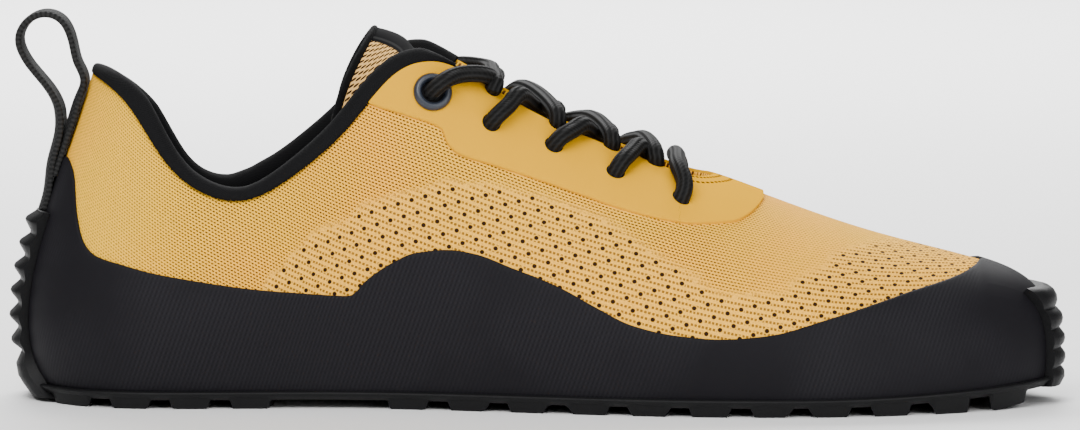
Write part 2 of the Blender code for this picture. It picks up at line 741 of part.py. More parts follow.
def make_tongue(look):
    rows = tongue_sections()
    count, cols = rows.shape[:2]
    points, kept = weld(rows.reshape(-1, 3), grid_faces(count, cols))
    kept = short_diagonals(points, [face for face in kept if face])
    normals = point_normals(points, kept)
    add("tongue", *layer(points, kept, normals, -TONGUE, 0), look)


def on_film(t, v, lift):
    point, normal, _ = skin_frame(np.array([float(t)]), np.array([float(v)]))
    return point[0] + normal[0] * (GAP + FILM + lift), normal[0]


def make_eyelets(look):
    """Flanged ring at the top hole of each side."""
    t, v = HOLES[0]
    for name, side in (("eyelet_medial", 1), ("eyelet_lateral", -1)):
        centre, normal = on_film(t * side, v, GAP)
        turn = Vector((0, 0, 1)).rotation_difference(Vector(normal)).to_matrix()
        rim = RING_RADIUS - RING_SLOPE
        section = ((RING_HOLE, 0.0), (RING_RADIUS, 0.0), (rim, RING_HIGH), (RING_HOLE, RING_HIGH))
        rings = []
        for k in range(RING_SIDES):
            angle = 2 * math.pi * k / RING_SIDES
            ring = [turn @ Vector((r * math.cos(angle), r * math.sin(angle), h)) for r, h in section]
            rings.append([Vector(centre) + p for p in ring])
        points, faces = tube_rings(np.array(rings), closed=True)
        add(name, points, [face[::-1] for face in faces], look)


def smooth_path(points, count):
    """Points along a smooth curve through the route's own points."""
    points = np.array(points)
    ts = np.linspace(0, len(points) - 1, count)
    return np.stack([spline(points[:, k], ts) for k in range(3)], -1)


def tube(name, path, radius, sides):
    """Round tube along a path, with flat ends."""
    ways = np.gradient(path, axis=0)
    ways /= np.linalg.norm(ways, axis=1, keepdims=True)
    rings = []
    side = np.cross(ways[0], [0, 0, 1.0])
    for point, way in zip(path, ways):
        side = side - way * (side @ way)
        side /= np.linalg.norm(side)
        other = np.cross(way, side)
        angles = 2 * math.pi * np.arange(sides) / sides
        rings.append([point + radius * (math.cos(a) * side + math.sin(a) * other) for a in angles])
    points, faces = tube_rings(np.array(rings))
    return add(name, points, faces)


def lace_route(start, end, sides, over):
    """From a hole on one side, over both throat edges and the tongue, to a hole on the other side."""
    (t0, v0), (t1, v1) = HOLES[start], HOLES[end]
    side0, side1 = sides
    clear = LACE_RADIUS + GAP
    lift0 = clear + (RING_HIGH + GAP if start == 0 else 0)
    lift1 = clear + (RING_HIGH + GAP if end == 0 else 0)
    route = [on_film(t0 * side0, v0, lift0)[0]]
    for part, side in ((0.30, side0), (0.70, side1)):
        t = max(t0 + (t1 - t0) * part + EDGE_AHEAD, BINDING_END + BINDING_CLEAR)
        top = float(breaks(np.array([t]))[2][0])
        point = on_film(t * side, top, clear)[0]
        point[2] += EDGE_LIFT
        route.append(point)
    middle = (route[1] + route[2]) / 2
    middle[2] += CROSS_LIFT + (CROSS_STEP if over else 0)
    route.insert(2, middle)
    route.append(on_film(t1 * side1, v1, lift1)[0])
    return smooth_path(route, 9)


def make_laces(look):
    """Crossings and the front bar, joined at the holes, over the tongue and the eyestay."""
    runs = [tube("laces", lace_route(4, 4, (1, -1), False), LACE_RADIUS, LACE_SIDES)]
    runs[0].data.materials.append(look)
    for k in range(4):
        runs.append(tube(f"strand_{k}_near", lace_route(k, k + 1, (1, -1), False), LACE_RADIUS, LACE_SIDES))
        runs.append(tube(f"strand_{k}_far", lace_route(k, k + 1, (-1, 1), True), LACE_RADIUS, LACE_SIDES))
    join(runs[0], runs[1:])


def make_pull_loop(look):
    """Webbing stitched down the heel, with a loop over the collar."""
    zs = HEIGHT * np.array(PULL_STRIP)
    heel = np.zeros_like(zs)
    point, normal, _ = skin_frame(heel, reach(heel, lambda p: p[..., 2] >= zs))
    strip = point + normal * (GAP + RAND + WRAP_GAP + TAPE / 2)
    loop = np.array([[along(0) + x, 0.0, HEIGHT * z] for x, z in PULL_ROUTE])
    path = smooth_path(np.concatenate([strip, loop]), 30)
    ways = np.gradient(path, axis=0)
    ways /= np.linalg.norm(ways, axis=1, keepdims=True)
    flat = np.stack([-ways[:, 2], ways[:, 1], ways[:, 0]], -1) * TAPE / 2
    wide = np.array([0, TAPE_WIDTH / 2, 0])
    rings = np.stack([path + flat - wide, path + flat + wide, path - flat + wide, path - flat - wide], axis=1)
    points, faces = tube_rings(rings[:, ::-1])
    add("pull_loop", points, faces, look)


def main():
    clear()
    points, faces, bands, normals = base_skin()
    rand_faces = [face for face, band in zip(faces, bands) if band == 0]
    film_faces = [face for face, band in zip(faces, bands) if band == 2]
    add("upper", *layer(points, faces, normals, -WALL, 0), material("knit", (0.72, 0.45, 0.15), 0.85))
    charcoal = material("rand", (0.02, 0.02, 0.022), 0.55)
    add("rand", *layer(points, rand_faces, normals, GAP, GAP + RAND), charcoal)
    film = material("film", (0.68, 0.44, 0.10), 0.5)
    add("eyestay", *layer(points, film_faces, normals, GAP, GAP + FILM), film)
    make_outsole(material("rubber", (0.012, 0.012, 0.013), 0.6))
    make_insole(material("foam", (0.03, 0.03, 0.03), 0.9))
    make_binding(material("padding", (0.012, 0.012, 0.013), 0.9))
    make_tongue(material("tongue_mesh", (0.60, 0.40, 0.18), 0.85))
    make_eyelets(material("painted_metal", (0.03, 0.04, 0.055), 0.4, 0.5))
    make_laces(material("cord", (0.008, 0.008, 0.009), 0.8))
    make_pull_loop(material("webbing", (0.015, 0.015, 0.016), 0.85))


main()
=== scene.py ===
# %% [markdown]
# # A low knit shoe on a lugged sole
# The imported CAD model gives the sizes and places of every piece. This lesson dresses it: each soft or
# moulded piece is worked out again as a fine surface, and each finish is mixed from procedural nodes.

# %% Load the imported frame
import math

import bpy
import bmesh
import numpy as np
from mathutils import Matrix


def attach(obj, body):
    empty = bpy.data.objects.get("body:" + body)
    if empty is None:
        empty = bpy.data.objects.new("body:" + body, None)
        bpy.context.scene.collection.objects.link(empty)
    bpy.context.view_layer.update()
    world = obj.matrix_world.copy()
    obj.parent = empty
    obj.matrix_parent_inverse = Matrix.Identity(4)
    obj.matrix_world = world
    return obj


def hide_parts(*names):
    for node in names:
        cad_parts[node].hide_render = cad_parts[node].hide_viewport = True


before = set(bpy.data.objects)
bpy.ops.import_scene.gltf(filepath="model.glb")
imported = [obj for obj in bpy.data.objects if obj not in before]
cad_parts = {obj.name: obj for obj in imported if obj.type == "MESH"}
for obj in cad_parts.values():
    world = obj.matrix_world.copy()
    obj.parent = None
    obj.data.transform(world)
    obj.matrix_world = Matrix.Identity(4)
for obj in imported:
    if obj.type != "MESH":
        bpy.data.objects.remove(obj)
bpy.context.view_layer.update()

# %% [markdown]
# ## Camera
# The photo was taken from the shoe's inner side, a little above the floor. A long lens far away keeps the
# sides nearly parallel. A short lens nearer by would give the same frame, but would swell the middle of
# the shoe.

# %% Place the camera
TARGET = np.array([0.1093, 0.0, 0.0489])
ELEVATION = math.radians(5.5)
DISTANCE = 1.6
LENS = 196.8
SENSOR = 36.0
camera_data = bpy.data.cameras.new("camera")
camera_data.lens = LENS
camera_data.sensor_width = SENSOR
camera = bpy.data.objects.new("camera", camera_data)
camera.location = TARGET + DISTANCE * np.array([0, -math.cos(ELEVATION), math.sin(ELEVATION)])
camera.rotation_euler = (math.pi / 2 - ELEVATION, 0, 0)
bpy.context.scene.collection.objects.link(camera)
bpy.context.scene.camera = camera
print("camera", DISTANCE, "m away, lens", LENS, "mm")


# %% [markdown]
# ## Light
# On a product table the lamps are large boxes with white cloth in front. An area light does the same: its
# size softens the shadow and its power sets the brightness. One lamp hangs behind the shoe and lights
# mostly the floor there, so that the background is pale while the rubber stays dark.

# %% Light the table
def softbox(name, place, aim, size, power):
    """A square lamp at place, turned so that its -Z axis points at aim."""
    data = bpy.data.lights.new(name, "AREA")
    data.energy = power
    data.size = size
    lamp = bpy.data.objects.new(name, data)
    lamp.location = place
    way = np.array(aim, float) - np.array(place, float)
    tilt = math.acos(-way[2] / np.linalg.norm(way))
    heading = math.atan2(way[1], way[0]) - math.pi / 2
    lamp.rotation_euler = (tilt, 0, heading)
    bpy.context.scene.collection.objects.link(lamp)


SHOE_MIDDLE = (0.11, 0, 0.04)
WORLD_LIGHT = 0.26
softbox("key_light", (-0.30, -1.10, 1.15), SHOE_MIDDLE, 1.0, 29.0)
softbox("fill_light", (0.85, -0.95, 0.50), SHOE_MIDDLE, 0.8, 8.0)
softbox("top_light", (0.00, -0.20, 1.30), SHOE_MIDDLE, 0.9, 3.5)
softbox("paper_light", (0.10, 1.60, 1.20), (0.10, 1.50, 0.0), 1.6, 95.0)

world = bpy.data.worlds.new("studio")
world.use_nodes = True
backdrop = world.node_tree.nodes["Background"]
backdrop.inputs["Color"].default_value = (1.0, 1.0, 1.0, 1)
backdrop.inputs["Strength"].default_value = WORLD_LIGHT
bpy.context.scene.world = world
print("lamps", [lamp.name for lamp in bpy.data.lights])

# %% [markdown]
# ## The surface of the last
# A shoe is made over a last. One function gives any point of it: a rib for each section runs from the
# feather edge, where the upper meets the sole, to the collar, the throat or the ridge of the vamp. A rib
# is a cubic Bezier curve, and its four control points come from short tables of shares of the shoe's main
# sizes.

# %% Main sizes and tables
LENGTH = 0.2753
BALL = 0.1015
HEIGHT = 0.0923
HEEL_TO_ORIGIN = 0.0290
RIDGE_SWING = 0.0100
SOLE = 0.0049
SPRING = 0.0028
TOE_RISE = 0.0042
WALL = 0.0016
SPRING_START = 0.74
RIDGE_START = 0.50

# foot and top are shares of LENGTH. inner, outer, gap, low_out and high_out are shares of BALL. height is a
# share of HEIGHT. low_up and high_down are shares of the rib's rise. way is in degrees, back (0) to aside (90)
COLUMNS = "foot inner outer top gap height way low_up low_out high_out high_down".split()
RIBS = np.array((
    (0.014, 0.000, 0.000, 0.064, 0.000, 0.957, 0, 0.24, 0.114, 0.112, 0.430),
    (0.022, 0.130, 0.130, 0.079, 0.118, 0.935, 34, 0.24, 0.107, 0.106, 0.430),
    (0.046, 0.225, 0.226, 0.107, 0.199, 0.862, 60, 0.25, 0.094, 0.092, 0.430),
    (0.086, 0.287, 0.296, 0.139, 0.251, 0.720, 78, 0.27, 0.076, 0.075, 0.420),
    (0.133, 0.308, 0.327, 0.177, 0.284, 0.627, 90, 0.29, 0.066, 0.050, 0.400),
    (0.180, 0.308, 0.340, 0.220, 0.300, 0.609, 90, 0.30, 0.060, 0.045, 0.380),
    (0.220, 0.303, 0.350, 0.264, 0.302, 0.678, 90, 0.30, 0.058, 0.048, 0.350),
    (0.256, 0.299, 0.363, 0.313, 0.288, 0.803, 90, 0.30, 0.056, 0.060, 0.310),
    (0.293, 0.298, 0.378, 0.357, 0.262, 0.955, 90, 0.30, 0.056, 0.085, 0.290),
    (0.329, 0.303, 0.395, 0.393, 0.235, 1.000, 90, 0.32, 0.060, 0.120, 0.260),
    (0.365, 0.314, 0.414, 0.430, 0.208, 0.962, 90, 0.35, 0.064, 0.155, 0.220),
    (0.430, 0.348, 0.449, 0.496, 0.171, 0.842, 90, 0.40, 0.066, 0.200, 0.170),
    (0.510, 0.402, 0.484, 0.568, 0.136, 0.742, 90, 0.43, 0.062, 0.240, 0.110),
    (0.583, 0.447, 0.502, 0.626, 0.090, 0.680, 90, 0.44, 0.054, 0.275, 0.050),
    (0.641, 0.473, 0.503, 0.670, 0.000, 0.648, 90, 0.44, 0.048, 0.315, 0.000),
    (0.721, 0.486, 0.476, 0.742, 0.000, 0.572, 90, 0.45, 0.042, 0.300, 0.000),
    (0.808, 0.470, 0.412, 0.822, 0.000, 0.492, 90, 0.47, 0.036, 0.265, 0.000),
    (0.888, 0.410, 0.315, 0.894, 0.000, 0.437, 90, 0.50, 0.032, 0.225, 0.000),
    (0.943, 0.335, 0.208, 0.945, 0.000, 0.396, 90, 0.53, 0.028, 0.175, 0.000),
    (0.976, 0.262, 0.098, 0.977, 0.000, 0.350, 90, 0.56, 0.020, 0.125, 0.000),
    (0.995, 0.185, -0.010, 0.996, 0.000, 0.262, 90, 0.58, 0.010, 0.070, 0.000),
    (1.000, 0.098, -0.098, 1.000, 0.000, 0.083, 90, 0.60, 0.000, 0.000, 0.000),
))
LAST_RIB = len(RIBS) - 1
# The outer side of the collar dips behind the ankle and stands higher in front of it: rib, metres down
LATERAL_DIP = (
    (0.0, 0.0), (1.0, 0.0026), (2.0, 0.0044), (3.0, 0.0050), (3.7, 0.0040), (4.3, 0.0023), (4.8, 0.0),
    (5.3, -0.0014), (6.2, -0.0016), (7.0, -0.0014), (8.0, -0.0004), (9.0, 0.0008), (10.0, 0.0012),
    (13.0, 0.0),
)
# Edges on the surface: share of LENGTH from the heel back, height as a share of HEIGHT
RAND_EDGE = (
    (0.000, 0.712), (0.039, 0.708), (0.0485, 0.665), (0.0525, 0.560), (0.060, 0.478), (0.072, 0.441),
    (0.097, 0.419), (0.132, 0.393), (0.182, 0.368), (0.222, 0.352), (0.268, 0.340), (0.318, 0.331),
    (0.336, 0.380), (0.360, 0.428), (0.382, 0.457), (0.414, 0.467), (0.441, 0.455), (0.473, 0.420),
    (0.518, 0.369), (0.559, 0.305), (0.589, 0.262), (0.632, 0.233), (0.675, 0.223), (0.719, 0.232),
    (0.779, 0.276), (0.853, 0.338), (0.931, 0.405), (0.960, 0.520),
)
EYESTAY_EDGE = (
    (0.300, 1.080), (0.335, 0.885), (0.372, 0.848), (0.407, 0.808), (0.413, 0.766), (0.425, 0.735),
    (0.455, 0.706), (0.501, 0.661), (0.543, 0.618), (0.578, 0.582), (0.617, 0.552), (0.652, 0.535),
    (0.687, 0.537), (0.718, 0.580), (0.735, 0.680),
)
HOLE_EDGE = (
    (0.234, 0.290), (0.2405, 0.380), (0.247, 0.388), (0.254, 0.398), (0.262, 0.440), (0.272, 0.462),
    (0.2815, 0.500), (0.300, 0.524), (0.318, 0.538), (0.325, 0.575), (0.365, 0.612), (0.393, 0.633),
    (0.4156, 0.657), (0.430, 0.646), (0.462, 0.641), (0.476, 0.624), (0.505, 0.608), (0.524, 0.589),
    (0.553, 0.558), (0.571, 0.536), (0.606, 0.462), (0.650, 0.388), (0.677, 0.338), (0.738, 0.336),
    (0.751, 0.380), (0.773, 0.398), (0.786, 0.436), (0.807, 0.450), (0.827, 0.460), (0.854, 0.462),
    (0.900, 0.450),
)
THROAT_FRONT = 0.672
THROAT_ROUND = 0.042
THROAT_HALF = 0.122
print("ribs on one side", len(RIBS))


# %% [markdown]
# ### Curves through the tables
# A table gives a value at each rib, and the shoe needs one everywhere between. A natural cubic spline
# runs smoothly through all the values, but it can overshoot. Drawn edges therefore use a second cubic,
# which stays between its neighbours. Both read whole arrays at once.

# %% Curves through the tables
def spline(rows, ts):
    """Natural cubic through values at 0, 1, 2..., read at ts.

    With b the way from one value to the next and a = 1 - b, it is a times the first plus b times the second,
    plus (a^3 - a) and (b^3 - b) times a sixth of the bends there.
    """
    rows = np.asarray(rows, float)
    n = len(rows)
    system = np.diag(np.full(n, 4.0)) + np.diag(np.ones(n - 1), 1) + np.diag(np.ones(n - 1), -1)
    system[0, :2] = 1, 0
    system[-1, -2:] = 0, 1
    bend = np.zeros(n)
    bend[1:-1] = 6 * (rows[2:] - 2 * rows[1:-1] + rows[:-2])
    bend = np.linalg.solve(system, bend)
    k = np.clip(np.floor(ts).astype(int), 0, n - 2)
    b = ts - k
    a = 1 - b
    return a * rows[k] + b * rows[k + 1] + ((a**3 - a) * bend[k] + (b**3 - b) * bend[k + 1]) / 6


def steady(xs, rows, ts):
    """Cubic through (xs, rows) that never overshoots, read at ts.

    The slope at a point is 2pq / (p + q) of the rises p and q beside it, or 0 where they change sign.
    """
    xs = np.asarray(xs, float)
    rows = np.asarray(rows, float)
    step = np.diff(xs)
    rise = np.diff(rows) / step
    slope = np.concatenate([rise[:1], np.zeros(len(xs) - 2), rise[-1:]])
    same = rise[:-1] * rise[1:] > 0
    total = np.where(same, rise[:-1] + rise[1:], 1)
    slope[1:-1] = np.where(same, 2 * rise[:-1] * rise[1:] / total, 0)
    k = np.clip(np.searchsorted(xs, ts, side="right") - 1, 0, len(xs) - 2)
    b = np.clip((ts - xs[k]) / step[k], 0, 1)
    level = rows[k] * (1 - b) ** 2 * (1 + 2 * b) + rows[k + 1] * b**2 * (3 - 2 * b)
    return level + step[k] * b * (1 - b) * (slope[k] * (1 - b) - slope[k + 1] * b)


def along(share):
    """World x = share times LENGTH, less the way from the heel to the origin."""
    return np.asarray(share) * LENGTH - HEEL_TO_ORIGIN


def edge_curve(edge, x):
    """Height of a drawn edge at x."""
    table = np.array(edge)
    return HEIGHT * steady(along(table[:, 0]), table[:, 1], x)


def column(name):
    """One column of RIBS, found by its name."""
    return RIBS[:, COLUMNS.index(name)]


def chain(name, ts):
    """A column of RIBS as one smooth run, outer toe, heel, inner toe."""
    rows = column(name)
    return spline(np.concatenate([rows[:0:-1], rows]), ts + LAST_RIB)


def feather_height(x):
    """SOLE plus the toe spring, which grows with the square of the way past the ball."""
    run = np.clip((x - along(SPRING_START)) / ((1 - SPRING_START) * LENGTH), 0, 1)
    return SOLE + SPRING * run**2


def ridge_y(x):
    """The ridge swings to the big toe: RIDGE_SWING times the square of the way past RIDGE_START."""
    run = np.clip((x - along(RIDGE_START)) / ((1 - RIDGE_START) * LENGTH), 0, 1)
    return -RIDGE_SWING * run**2


# %% [markdown]
# ### Any point of the skin
# Every later piece asks the same surface where it lies: the knit is the surface itself, a film stands a
# little off it, and an edge is the place up each rib where a test first holds. Drawing each piece by hand
# would mean keeping them in step by hand too.

# %% Points of the last
def feather(ts):
    """Feather edge points, and the edge's direction turned a quarter outwards. The outer side has ts < 0."""
    small = 0.02
    ends = np.concatenate([column("outer")[:0:-1], -column("inner")])

    def place(t):
        """x is a share of LENGTH and y a share of BALL, both read from the tables."""
        return along(chain("foot", t)), BALL * spline(ends, t + LAST_RIB)

    x, y = place(ts)
    ahead = place(np.minimum(ts + small, LAST_RIB))
    behind = place(np.maximum(ts - small, -LAST_RIB))
    way = np.stack([ahead[1] - behind[1], behind[0] - ahead[0]], -1)
    way = way / np.linalg.norm(way, axis=-1, keepdims=True)
    points = np.stack([x, y, feather_height(x)], -1)
    return points, np.concatenate([way, np.zeros_like(x)[..., None]], -1)


def skin(ts, vs):
    """Cubic Bezier ribs: u^3 low + 3u^2v first + 3uv^2 second + v^3 top, with u = 1 - v."""
    side = np.where(ts < 0, 1.0, -1.0)
    ribs = np.arange(LAST_RIB + 1)
    low, low_way = feather(ts)
    gap = BALL * steady(ribs, column("gap"), np.abs(ts))
    dip = np.where(ts < 0, steady(*np.transpose(LATERAL_DIP), np.abs(ts)), 0.0)
    x = along(chain("top", ts))
    top = np.stack([x, ridge_y(x) + side * gap, HEIGHT * chain("height", ts) - dip], -1)
    rise = (top[..., 2] - low[..., 2])[..., None]
    up = np.array([0.0, 0.0, 1.0])
    angle = np.radians(steady(ribs, column("way"), np.abs(ts)))
    out = np.stack([-np.cos(angle), side * np.sin(angle), np.zeros_like(angle)], -1)
    low_out, low_up, high_out, high_down = [
        chain(name, ts)[..., None] for name in ("low_out", "low_up", "high_out", "high_down")
    ]
    first = low + low_way * BALL * low_out + up * rise * low_up
    second = top + out * BALL * high_out - up * rise * high_down
    v = vs[..., None]
    u = 1 - v
    return u**3 * low + 3 * u * u * v * first + 3 * u * v * v * second + v**3 * top


def skin_frame(ts, vs):
    """Point, outward normal (along x up) and the way up the rib, from small steps."""
    step = 1e-3
    ts, vs = np.broadcast_arrays(np.asarray(ts, float), np.asarray(vs, float))
    ahead = skin(np.minimum(ts + step, LAST_RIB), vs) - skin(np.maximum(ts - step, -LAST_RIB), vs)
    up = skin(ts, np.minimum(vs + step, 1)) - skin(ts, np.maximum(vs - step, 0))
    normal = np.cross(ahead, up)
    normal /= np.linalg.norm(normal, axis=-1, keepdims=True) + 1e-12
    return skin(ts, vs), normal, up / (np.linalg.norm(up, axis=-1, keepdims=True) + 1e-12)


def reach(ts, passed):
    """Bisection: the share up each rib where the test first holds, or 1."""
    low = np.zeros_like(ts)
    high = np.ones_like(ts)
    never = ~passed(skin(ts, high))
    for _ in range(30):
        middle = (low + high) / 2
        over = passed(skin(ts, middle))
        high = np.where(over, middle, high)
        low = np.where(over, low, middle)
    return np.where(never, 1.0, high)


def throat_half(x):
    """Half width of the throat = full half width times sqrt(1 - run^2) over its round front end."""
    run = np.clip((x - along(THROAT_FRONT - THROAT_ROUND)) / (THROAT_ROUND * LENGTH), 0, 1)
    return BALL * THROAT_HALF * np.sqrt(1 - run**2)


def edge_share(ts, edge):
    """Share up each rib where it crosses a drawn edge; read on the inner side and used for both."""
    return reach(np.abs(ts), lambda p: p[..., 2] >= edge_curve(edge, p[..., 0]))


THROAT_SEARCH = 0.60


def top_share(ts):
    """Share up each rib where the throat starts, or 1 at the collar and the ridge."""
    def open_throat(p):
        """Nearer to the ridge than the throat's half width, and ahead of THROAT_SEARCH."""
        inside = np.abs(p[..., 1] - ridge_y(p[..., 0])) < throat_half(p[..., 0]) - 1e-6
        return inside & (p[..., 0] > along(THROAT_SEARCH))

    return reach(np.abs(ts), open_throat)


# %% [markdown]
# ## Cloth coordinates
# A knit follows the shoe, so its pattern needs its own map: u runs round the shoe and v runs up each rib,
# both in metres. With real lengths in the map, a stitch is as large on the toe as on the heel.

# %% Work out the cloth map
FINE_RIBS = 841
FINE_SHARES = 81
GIRTH_SHARE = 0.4
ribs_fine = np.linspace(0, LAST_RIB, FINE_RIBS)
shares_fine = np.linspace(0, 1, FINE_SHARES)
inner_points = skin(*np.meshgrid(ribs_fine, shares_fine, indexing="ij"))
girth_row = inner_points[:, round(GIRTH_SHARE * (FINE_SHARES - 1))]
girth = np.linalg.norm(np.diff(girth_row, axis=0), axis=1)
girth = np.concatenate([[0.0], np.cumsum(girth)])
climb = np.linalg.norm(np.diff(inner_points, axis=1), axis=2)
climb = np.concatenate([np.zeros((FINE_RIBS, 1)), np.cumsum(climb, axis=1)], axis=1)


def cloth_map(ts, vs):
    """u = girth at 40% of the rib plus how far the point leans ahead of it; v = length up the rib."""
    ts, vs = np.broadcast_arrays(np.asarray(ts, float), np.asarray(vs, float))
    t = np.abs(ts)
    lean = skin(ts, vs)[..., 0] - skin(ts, np.full_like(vs, GIRTH_SHARE))[..., 0]
    u = np.interp(t, ribs_fine, girth) + lean
    i = t / LAST_RIB * (FINE_RIBS - 1)
    j = vs * (FINE_SHARES - 1)
    i0 = np.clip(np.floor(i).astype(int), 0, FINE_RIBS - 2)
    j0 = np.clip(np.floor(j).astype(int), 0, FINE_SHARES - 2)
    a, b = i - i0, j - j0
    v = (climb[i0, j0] * (1 - a) * (1 - b) + climb[i0 + 1, j0] * a * (1 - b)
         + climb[i0, j0 + 1] * (1 - a) * b + climb[i0 + 1, j0 + 1] * a * b)
    return np.stack([u, v], -1)


def solve_inner(x, z):
    """Rib and share of the inner side's point at x and z, by the nearest point of the fine grid."""
    far = (inner_points[..., 0] - x) ** 2 + (inner_points[..., 2] - z) ** 2
    i, j = np.unravel_index(np.argmin(far), far.shape)
    return ribs_fine[i], shares_fine[j]


print("girth of one side, m", round(float(girth[-1]), 4))


# %% [markdown]
# ## From arrays to meshes
# Every surface is a grid of points. Blender's foreach_set takes the whole arrays at once, which is much
# faster than adding vertices one by one. Points that coincide are then merged, which closes seams and
# poles.

# %% Put grids into a mesh
MERGE_WITHIN = 2e-6
SLIVER = 1e-7


def piece(name, grids, looks, flip=False, node=None, smooth=50, closed=True):
    """Makes a piece from grids of (points, uv, fields), with points (n, m, 3).

    A face's normal is the way of i crossed with the way of j.
    """
    points, corners, uvs, fields = [], [], [], {}
    start = 0
    for grid_points, uv, extra in grids:
        n, m = grid_points.shape[:2]
        index = np.arange(n * m).reshape(n, m) + start
        quads = np.stack([index[:-1, :-1], index[1:, :-1], index[1:, 1:], index[:-1, 1:]], -1).reshape(-1, 4)
        corners.append(quads[:, ::-1] if flip else quads)
        points.append(grid_points.reshape(-1, 3))
        uvs.append(np.zeros((n * m, 2)) if uv is None else uv.reshape(-1, 2))
        for key, values in (extra or {}).items():
            fields.setdefault(key, []).append(np.broadcast_to(values, (n, m)).reshape(-1))
        start += n * m
    points, corners, uvs = np.concatenate(points), np.concatenate(corners), np.concatenate(uvs)
    mesh = bpy.data.meshes.new(name)
    mesh.vertices.add(len(points))
    mesh.vertices.foreach_set("co", points.ravel())
    mesh.loops.add(corners.size)
    mesh.loops.foreach_set("vertex_index", corners.ravel())
    mesh.polygons.add(len(corners))
    mesh.polygons.foreach_set("loop_start", np.arange(0, corners.size, 4))
    mesh.update(calc_edges=True)
    mesh.uv_layers.new(name="cloth").data.foreach_set("uv", uvs[corners.ravel()].ravel())
    for key, values in fields.items():
        numbers = np.concatenate(values).astype(np.float32)
        mesh.attributes.new(key, "FLOAT", "POINT").data.foreach_set("value", numbers)
    work = bmesh.new()
    work.from_mesh(mesh)
    bmesh.ops.remove_doubles(work, verts=work.verts, dist=MERGE_WITHIN)
    bmesh.ops.dissolve_degenerate(work, edges=work.edges, dist=SLIVER)
    if closed:
        bmesh.ops.recalc_face_normals(work, faces=work.faces)
    work.to_mesh(mesh)
    work.free()
    mesh.validate()
    mesh.shade_smooth()
    mesh.set_sharp_from_angle(angle=math.radians(smooth))
    for look in looks:
        mesh.materials.append(look)
    made = bpy.data.objects.new(name, mesh)
    bpy.context.scene.collection.objects.link(made)
    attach(made, "root")
    if node:
        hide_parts(node)
    print(name, len(mesh.polygons), "faces")
    return made


# %% [markdown]
# ### Tubes along a path
# A lace or a bound edge is a round section carried along a curve. A Blender curve with a bevel can do
# that, but it has no map in metres. Here the section's up direction is carried from point to point and
# only squared to the path, so the tube doesn't twist.

# %% Tubes and paths
def tube(path, across, thick, sides):
    """Path + across cos(angle) sideways + thick sin(angle) up, with both ends closed.

    Its map is the length run along the path, and the share of the way round.
    """
    ways = np.gradient(path, axis=0)
    ways /= np.linalg.norm(ways, axis=1, keepdims=True)
    ups = np.zeros_like(path)
    up = np.array([0.0, 0.0, 1.0])
    for k, way in enumerate(ways):
        up = up - way * (up @ way)
        up /= np.linalg.norm(up)
        ups[k] = up
    sideways = np.cross(ways, ups)
    angle = np.linspace(0, 2 * np.pi, sides + 1)
    wide_part = across * np.cos(angle)[None, :, None] * sideways[:, None]
    flat_part = thick * np.sin(angle)[None, :, None] * ups[:, None]
    rings = path[:, None] + wide_part + flat_part
    ends = np.repeat(path[[0, -1], None], sides + 1, axis=1)
    points = np.concatenate([ends[:1], rings, ends[1:]])
    run = np.concatenate([[0.0], np.cumsum(np.linalg.norm(np.diff(path, axis=0), axis=1))])
    run = np.concatenate([run[:1], run, run[-1:]])
    round_way = angle / (2 * np.pi)
    uv = np.stack(np.broadcast_arrays(run[:, None], round_way[None, :]), -1)
    return points, uv


def smooth_path(points, count):
    """Natural cubic through the points, read evenly along its length."""
    points = np.array(points, float)
    ts = np.linspace(0, len(points) - 1, 40 * len(points))
    fine = np.stack([spline(points[:, k], ts) for k in range(3)], -1)
    run = np.concatenate([[0.0], np.cumsum(np.linalg.norm(np.diff(fine, axis=0), axis=1))])
    even = np.linspace(0, run[-1], count)
    return np.stack([np.interp(even, run, fine[:, k]) for k in range(3)], -1)


# %% [markdown]
# ## Finishes
# A finish is a small tree of nodes. Two helpers keep the trees readable: one makes a node and fills its
# sockets with numbers or links, one does a step of arithmetic. Effects that several finishes share are
# node groups.

# %% Node helpers
def node(tree, kind, values=None, **settings):
    """A node with its settings, and each named socket either linked or set to a number."""
    made = tree.nodes.new(kind)
    for key, value in settings.items():
        setattr(made, key, value)
    for key, value in (values or {}).items():
        if isinstance(value, bpy.types.NodeSocket):
            tree.links.new(value, made.inputs[key])
        else:
            made.inputs[key].default_value = value
    return made


def sums(tree, operation, a, b=0.0, c=0.0):
    """One step of arithmetic."""
    return node(tree, "ShaderNodeMath", {0: a, 1: b, 2: c}, operation=operation).outputs[0]


def group(name, inputs, outputs):
    """An empty shader group with named sockets, its input node and its output node."""
    tree = bpy.data.node_groups.new(name, "ShaderNodeTree")
    for label, kind, value in inputs:
        made = tree.interface.new_socket(label, in_out="INPUT", socket_type=kind)
        if value is not None:
            made.default_value = value
    for label, kind in outputs:
        tree.interface.new_socket(label, in_out="OUTPUT", socket_type=kind)
    return tree, tree.nodes.new("NodeGroupInput").outputs, tree.nodes.new("NodeGroupOutput").inputs


def use(tree, which, **values):
    """A group placed in a material; spaces in socket names are written as underscores."""
    made = node(tree, "ShaderNodeGroup", node_tree=which)
    for key, value in values.items():
        socket = made.inputs[key.replace("_", " ")]
        if isinstance(value, bpy.types.NodeSocket):
            tree.links.new(value, socket)
        else:
            socket.default_value = value
    return made.outputs


def finish(name, colour, roughness, **sockets):
    """A material with its Principled BSDF set, and its tree."""
    made = bpy.data.materials.new(name)
    made.use_nodes = True
    shader = made.node_tree.nodes["Principled BSDF"]
    shader.inputs["Base Color"].default_value = (*colour, 1)
    shader.inputs["Roughness"].default_value = roughness
    for key, value in sockets.items():
        shader.inputs[key.replace("_", " ")].default_value = value
    return made, made.node_tree, shader


